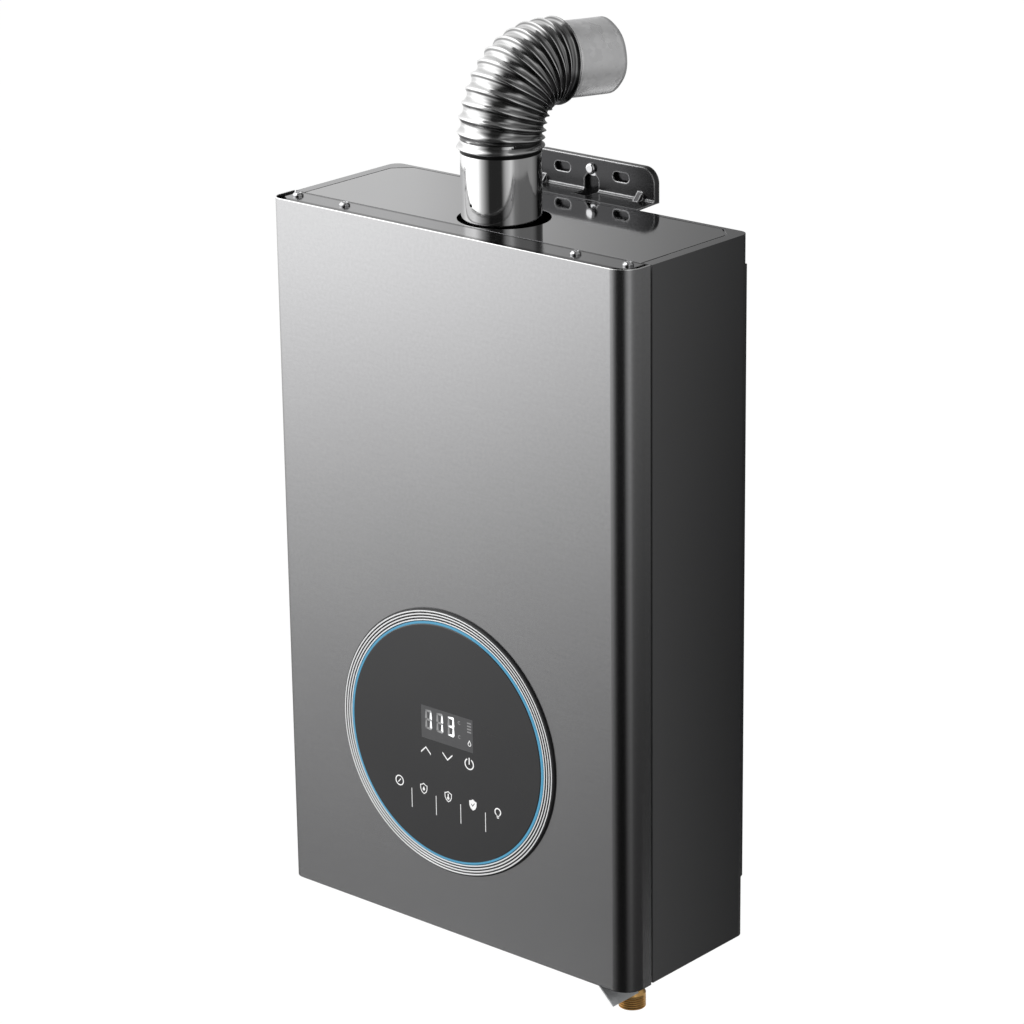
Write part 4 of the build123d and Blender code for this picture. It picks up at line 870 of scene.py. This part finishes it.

# %% [markdown]
# ## Creases and painted light
# A hand-bent tube is never quite round, so three small waves round each outer ring stand for the creases of
# handling. The same pass writes down each point's painted light: the side that is turned to the light keeps
# a part of its painted brightness in the valleys, and the inner side of the bend is left in painted shade.

# %% Crease the elbow
ring_segments = 144
crease = 0.14 * mm
crease_waves = ((5, 0.9), (9, -0.37), (14, 0.53))
inner_side = Vector((0.75, 0.66, 0))
inner_from = -0.3
inner_run = 0.9
lit_side_share = 0.55
bm = extruded_rings(rings, ring_segments)
rib_shine = bm.verts.layers.float.new("rib_shine")
bm.verts.ensure_lookup_table()
for i, painted_light in enumerate(painted_lights):
    travel, radius = rings[i]
    place = ring_matrix(travel, radius)
    to_ring = place.inverted()
    for vert in bm.verts[i * ring_segments:(i + 1) * ring_segments]:
        local = to_ring @ vert.co
        inner = min(1.0, max(0.0, (inner_side.dot(local) - inner_from) / inner_run))
        # Painted light: the outer side keeps part of its brightness in the valleys; the inner side of the
        # bend stays in painted shade.
        vert[rib_shine] = painted_light + (1 - painted_light) * (1 - inner) * lit_side_share
        around = math.atan2(local.y, local.x)
        ripple = sum(math.sin(waves * around + turn * i) for waves, turn in crease_waves)
        inwards = (ripple - len(crease_waves)) / len(crease_waves)
        vert.co = place @ (local * (1 + crease * inwards / radius))
elbow = heater_piece("pulled_elbow", bm, ribbed, "flue_head")
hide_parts("flue_elbow")
print("elbow:", len(elbow.data.polygons), "faces,", rib_count, "ribs")

# %% [markdown]
# ## The dented tail
# The tail is a short plain pipe of zinc-coated sheet with a lapped seam. It has been handled: its rim isn't
# quite round. A cylinder would look too perfect, so the same ring is extruded along the line, and then the
# points near the rim move in or out by a smooth amount round the pipe.

# %% Extrude the tail
tail_radius = 28.7 * mm
crimp_radius = 27.7 * mm
tail_wall = 0.6 * mm
tail_socket = 7.0 * mm
tail_stop = 1.0 * mm
tail_length = 43.0 * mm
tail_steps = 12
tail_segments = 128
tail_start = elbow_length - tail_socket
shoulder = elbow_length + tail_stop
tail_end = shoulder + tail_length
rings = [(tail_start, crimp_radius), (shoulder, crimp_radius), (shoulder + tail_wall, tail_radius)]
for i in range(1, tail_steps + 1):
    rings.append((shoulder + tail_wall + (tail_length - tail_wall) * i / tail_steps, tail_radius))
for i in range(tail_steps + 1):
    rings.append((tail_end - (tail_length - 2 * tail_wall) * i / tail_steps, tail_radius - tail_wall))
rings += [(shoulder + tail_wall, crimp_radius - tail_wall), (tail_start, crimp_radius - tail_wall)]
bm = extruded_rings(rings, tail_segments)
print("tail:", len(rings), "rings")

# %% Dent the tail and raise its seam
tail_frame = ring_matrix(tail_end, 1.0)
to_tail = tail_frame.inverted()
dent_depth = 0.55 * mm
dent_inwards = 0.4
dent_waves = ((3, 0.6, 1.0), (7, 0.0, 0.6))
dent_total = sum(size for waves, turn, size in dent_waves)
seam_height = 0.3 * mm
seam_turn = math.radians(205)
seam_half = math.radians(3.5)
for vert in bm.verts:
    local = to_tail @ vert.co
    if local.z < -tail_length + 2 * tail_wall:
        continue
    reach = max(0.0, 1 + local.z / tail_length)
    around = math.atan2(local.y, local.x)
    wave = sum(size * math.sin(waves * around + turn) for waves, turn, size in dent_waves)
    dent = dent_depth * reach ** 3 * wave / dent_total
    from_seam = abs((around - seam_turn + math.pi) % math.tau - math.pi)
    seam = seam_height if from_seam < seam_half else 0.0
    outwards = Vector((local.x, local.y, 0)).normalized()
    vert.co = tail_frame @ (local + outwards * (dent + seam - dent_depth * dent_inwards))
tail = heater_piece("dented_tail", bm, finishes["tail_zinc"], "flue_head")
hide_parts("flue_tail")
print("tail:", len(tail.data.polygons), "faces")

# %% [markdown]
# ## Marks on the touch panel
# The marks are printed behind the glass and lit from behind. A picture on the glass would do, but marks as
# thin pieces stay sharp at any distance. Each is drawn flat, in millimetres from a point near the panel's
# middle, with an operator that suits it: a spun edge for a ring, an extruded chain of edges for a stroke, a
# six-sided circle pulled long for a segment of a digit.

# %% Helpers for flat marks
marks_origin = Vector((-5.25, -174.4, -410.1)) * mm
merge_reach = 0.0005
mark_rise = 0.06


def mark_ring(bm, x, z, inner, outer, start=0.0, sweep=360.0):
    """A flat ring or part of one, spun from a short edge; angles run from the right, anticlockwise."""
    a = math.radians(start)
    ray = Vector((math.cos(a), 0, math.sin(a)))
    centre = Vector((x, 0, z))
    ends = [bm.verts.new(centre + ray * inner), bm.verts.new(centre + ray * outer)]
    edge = bm.edges.new(ends)
    bmesh.ops.spin(
        bm, geom=ends + [edge], cent=centre, axis=(0, -1, 0), angle=math.radians(sweep),
        steps=max(8, round(sweep / 10)), use_merge=sweep == 360.0)


def mark_stroke(bm, points, width):
    """A stroke along a chain of points, with a width across."""
    side = Vector(width)
    low = [bm.verts.new(Vector((x, 0, z)) - side / 2) for x, z in points]
    chain = [bm.edges.new(pair) for pair in zip(low, low[1:])]
    grown = bmesh.ops.extrude_edge_only(bm, edges=chain)["geom"]
    bmesh.ops.translate(bm, verts=points_of(grown), vec=side)


def mark_patch(bm, points, hollow=0.0):
    """A filled outline, or only its border when a border width is given."""
    loop = [bm.verts.new((x, 0, z)) for x, z in points]
    face = bm.faces.new(loop)
    face.normal_update()
    if hollow:
        bmesh.ops.inset_region(bm, faces=[face], thickness=hollow, use_boundary=True, use_even_offset=True)
        bmesh.ops.delete(bm, geom=[face], context="FACES_ONLY")


def panel_piece(name, bm, finish, rise):
    """Sets flat marks on the glass as a thin piece of the heater."""
    bmesh.ops.remove_doubles(bm, verts=bm.verts[:], dist=merge_reach)
    bmesh.ops.recalc_face_normals(bm, faces=bm.faces[:])
    back = [face for face in bm.faces if face.normal.y > 0]
    bmesh.ops.reverse_faces(bm, faces=back)
    grown = bmesh.ops.extrude_face_region(bm, geom=bm.faces[:])["geom"]
    bmesh.ops.translate(bm, verts=points_of(grown), vec=(0, -rise, 0))
    bmesh.ops.recalc_face_normals(bm, faces=bm.faces[:])
    on_panel = Matrix.Translation(marks_origin) @ Matrix.Scale(mm, 4)
    bmesh.ops.transform(bm, matrix=on_panel, verts=bm.verts[:])
    piece = heater_piece(name, bm, finish, "heater")
    piece.data.shade_flat()


def lit_ink(name, dark, light, glow):
    """Ink that is lit from behind."""
    material, place = new_finish(name, {"Emission Strength": glow, "Roughness": 0.3})
    drift = noise(place, 160)
    colour = two_tone(drift, dark, light)
    feed(material, {"Base Color": colour, "Emission Color": colour})
    return material


white_ink = lit_ink("white_ink", (0.60, 0.60, 0.60), (0.72, 0.72, 0.72), 0.5)
bright_ink = lit_ink("digit_light", (0.78, 0.79, 0.80), (0.88, 0.89, 0.90), 0.7)
ghost_ink = lit_ink("ghost_ink", (0.20, 0.20, 0.202), (0.24, 0.24, 0.242), 0.4)
window_ink = lit_ink("window_ink", (0.055, 0.055, 0.057), (0.066, 0.066, 0.068), 0.3)
print("mark helpers ready")

# %% [markdown]
# ## The display
# The window is a plain lighter field. Its digits are the usual seven bars: the lit ones are white, and the
# ones at rest still show as faint ghosts.

# %% The window
window_half = 26.0
window_low = -2.7
window_high = 23.9
bm = bmesh.new()
low_edge = [(-window_half, window_low), (window_half, window_low)]
high_edge = [(window_half, window_high), (-window_half, window_high)]
mark_patch(bm, low_edge + high_edge)
panel_piece("display_window", bm, window_ink, mark_rise / 2)
print("window:", 2 * window_half, "mm wide")

# %% The digits
digit_high = 16.0
digit_wide = 6.6
bar_wide = 1.9
bar_gap = 0.35
digit_z = 13.2
digit_places = (-18.6, -7.2, 4.2)
bars = {
    "top": (0, 1, True), "middle": (0, 0, True), "bottom": (0, -1, True),
    "upper_left": (-1, 0.5, False), "upper_right": (1, 0.5, False),
    "lower_left": (-1, -0.5, False), "lower_right": (1, -0.5, False),
}
one = ("upper_right", "lower_right")
three = ("top", "middle", "bottom", "upper_right", "lower_right")


def digit_bar(bm, x, z, along):
    """One bar of a digit: a six-sided ring pulled long and filled."""
    length = (digit_wide if along else digit_high / 2) - bar_wide - 2 * bar_gap
    flat = Matrix.Rotation(math.pi / 2, 4, "X")
    upturned = Matrix.Identity(4) if along else Matrix.Rotation(math.pi / 2, 4, "Y")
    corner = bar_wide / math.sqrt(3)
    made = bmesh.ops.create_circle(bm, cap_ends=True, segments=6, radius=corner, matrix=flat)
    for vert in made["verts"]:
        vert.co.x += math.copysign(length / 2, vert.co.x)
    bmesh.ops.transform(bm, matrix=Matrix.Translation((x, 0, z)) @ upturned, verts=made["verts"])


def digits(lit):
    """All the bars that are lit, or all that are at rest."""
    bm = bmesh.new()
    for x, shown in zip(digit_places, (one, one, three)):
        for name, (side, rise, along) in bars.items():
            if (name in shown) == lit:
                bar_x = x + side * (digit_wide - bar_wide) / 2
                digit_bar(bm, bar_x, digit_z + rise * (digit_high - bar_wide) / 2, along)
    return bm


panel_piece("lit_digits", digits(True), bright_ink, mark_rise)
print("display shows", len(digit_places), "digits")

# %% The ghosts
unit_x = 12.6
unit_heights = (18.5, 7.0)
level_left, level_right = 20.5, 24.5
level_top = 20.5
level_step = 2.4
level_count = 4
level_line = (0, 0, 1.0)
bm = digits(False)
for z in unit_heights:
    mark_ring(bm, unit_x, z, 0.9, 1.4, 45, 270)
for i in range(level_count):
    z = level_top - level_step * i
    mark_stroke(bm, [(level_left, z), (level_right, z)], level_line)
panel_piece("ghost_digits", bm, ghost_ink, mark_rise)
print("ghosts: bars at rest,", len(unit_heights), "units,", level_count, "levels")

# %% [markdown]
# ## Keys and signs
# Three touch keys sit under the window: up, down and power. Below them a row of five plain signs with four
# thin rules between. A shield is one outline drawn from its point up one side and down the other, and its
# border is an inset with the middle taken out.

# %% Outlines of a drop and a shield
def drop(x, z, size):
    """A drop or flame outline: a bowl below and a point above."""
    turns = [math.radians(angle) for angle in range(-200, 21, 20)]
    bowl = [(x + size * 0.5 * math.cos(a), z + size * 0.5 * math.sin(a)) for a in turns]
    point = [(x + size * a, z + size * b) for a, b in ((0.22, 0.62), (0.0, 1.05), (-0.22, 0.62))]
    return bowl + point


def shield(x, z, size):
    """A shield outline from its lowest point round."""
    half = [(0, -0.62), (0.3, -0.42), (0.45, -0.12), (0.48, 0.34), (0.22, 0.42)]
    right = [(x + size * a, z + size * b) for a, b in half]
    left = [(x - size * a, z + size * b) for a, b in reversed(half[1:])]
    return right + [(x, z + size * 0.56)] + left


print("outlines:", len(drop(0, 0, 1)), "and", len(shield(0, 0, 1)), "points")

# %% Keys
bm = bmesh.new()
key_z = -12.6
key_step = 22
chevron_half = 5
chevron_rise = 2.4
chevron_line = (0, 0, 1.35)
fine_line = (1.0, 0, 0)
for x, rise in ((-key_step, chevron_rise), (0, -chevron_rise)):
    left_foot = (x - chevron_half, key_z - rise)
    right_foot = (x + chevron_half, key_z - rise)
    mark_stroke(bm, [left_foot, (x, key_z + rise), right_foot], chevron_line)
mark_ring(bm, key_step, key_z, 3.7, 4.7, 118, 304)
mark_stroke(bm, [(key_step, key_z - 0.4), (key_step, key_z + 5.2)], fine_line)
print("keys: up, down and power")

# %% Signs
sign_z = -45.0
sign_step = 25
shield_size = 7.8
shield_border = 0.7
lamp_foot_line = (0, 0, 0.8)
tick_line = (0, 0, 1.0)
rule_low, rule_high = -64.0, -48.0
rule_line = (0.55, 0, 0)
mark_ring(bm, -2 * sign_step, sign_z, 3.4, 4.3)
mark_stroke(bm, [(-51.4, sign_z - 1.6), (-48.8, sign_z + 1.5)], fine_line)
mark_patch(bm, shield(-sign_step, sign_z, shield_size), shield_border)
mark_patch(bm, drop(-sign_step, sign_z - 0.7, 2.3))
mark_patch(bm, shield(0, sign_z, shield_size), shield_border)
mark_stroke(bm, [(0, sign_z - 1.8), (0, sign_z + 2.1)], fine_line)
mark_ring(bm, 0, sign_z - 1.5, 0.3, 1.2)
mark_patch(bm, shield(sign_step, sign_z, shield_size))
mark_ring(bm, 2 * sign_step, sign_z + 0.8, 2.3, 3.3, -60, 300)
mark_stroke(bm, [(48.6, sign_z - 2.6), (51.4, sign_z - 2.6)], lamp_foot_line)
mark_stroke(bm, [(49.0, sign_z - 4.0), (51.0, sign_z - 4.0)], lamp_foot_line)
for between in (-1.5, -0.5, 0.5, 1.5):
    x = between * sign_step
    mark_stroke(bm, [(x, rule_low), (x, rule_high)], rule_line)
mark_patch(bm, drop(22.6, 3.6, 3.4), 0.6)
panel_piece("panel_marks", bm, white_ink, mark_rise)
bm = bmesh.new()
mark_stroke(bm, [(23.4, sign_z + 0.1), (24.7, sign_z - 1.2), (26.8, sign_z + 1.4)], tick_line)
panel_piece("shield_tick", bm, window_ink, 1.5 * mark_rise)
print("signs: 5 with 4 rules between")
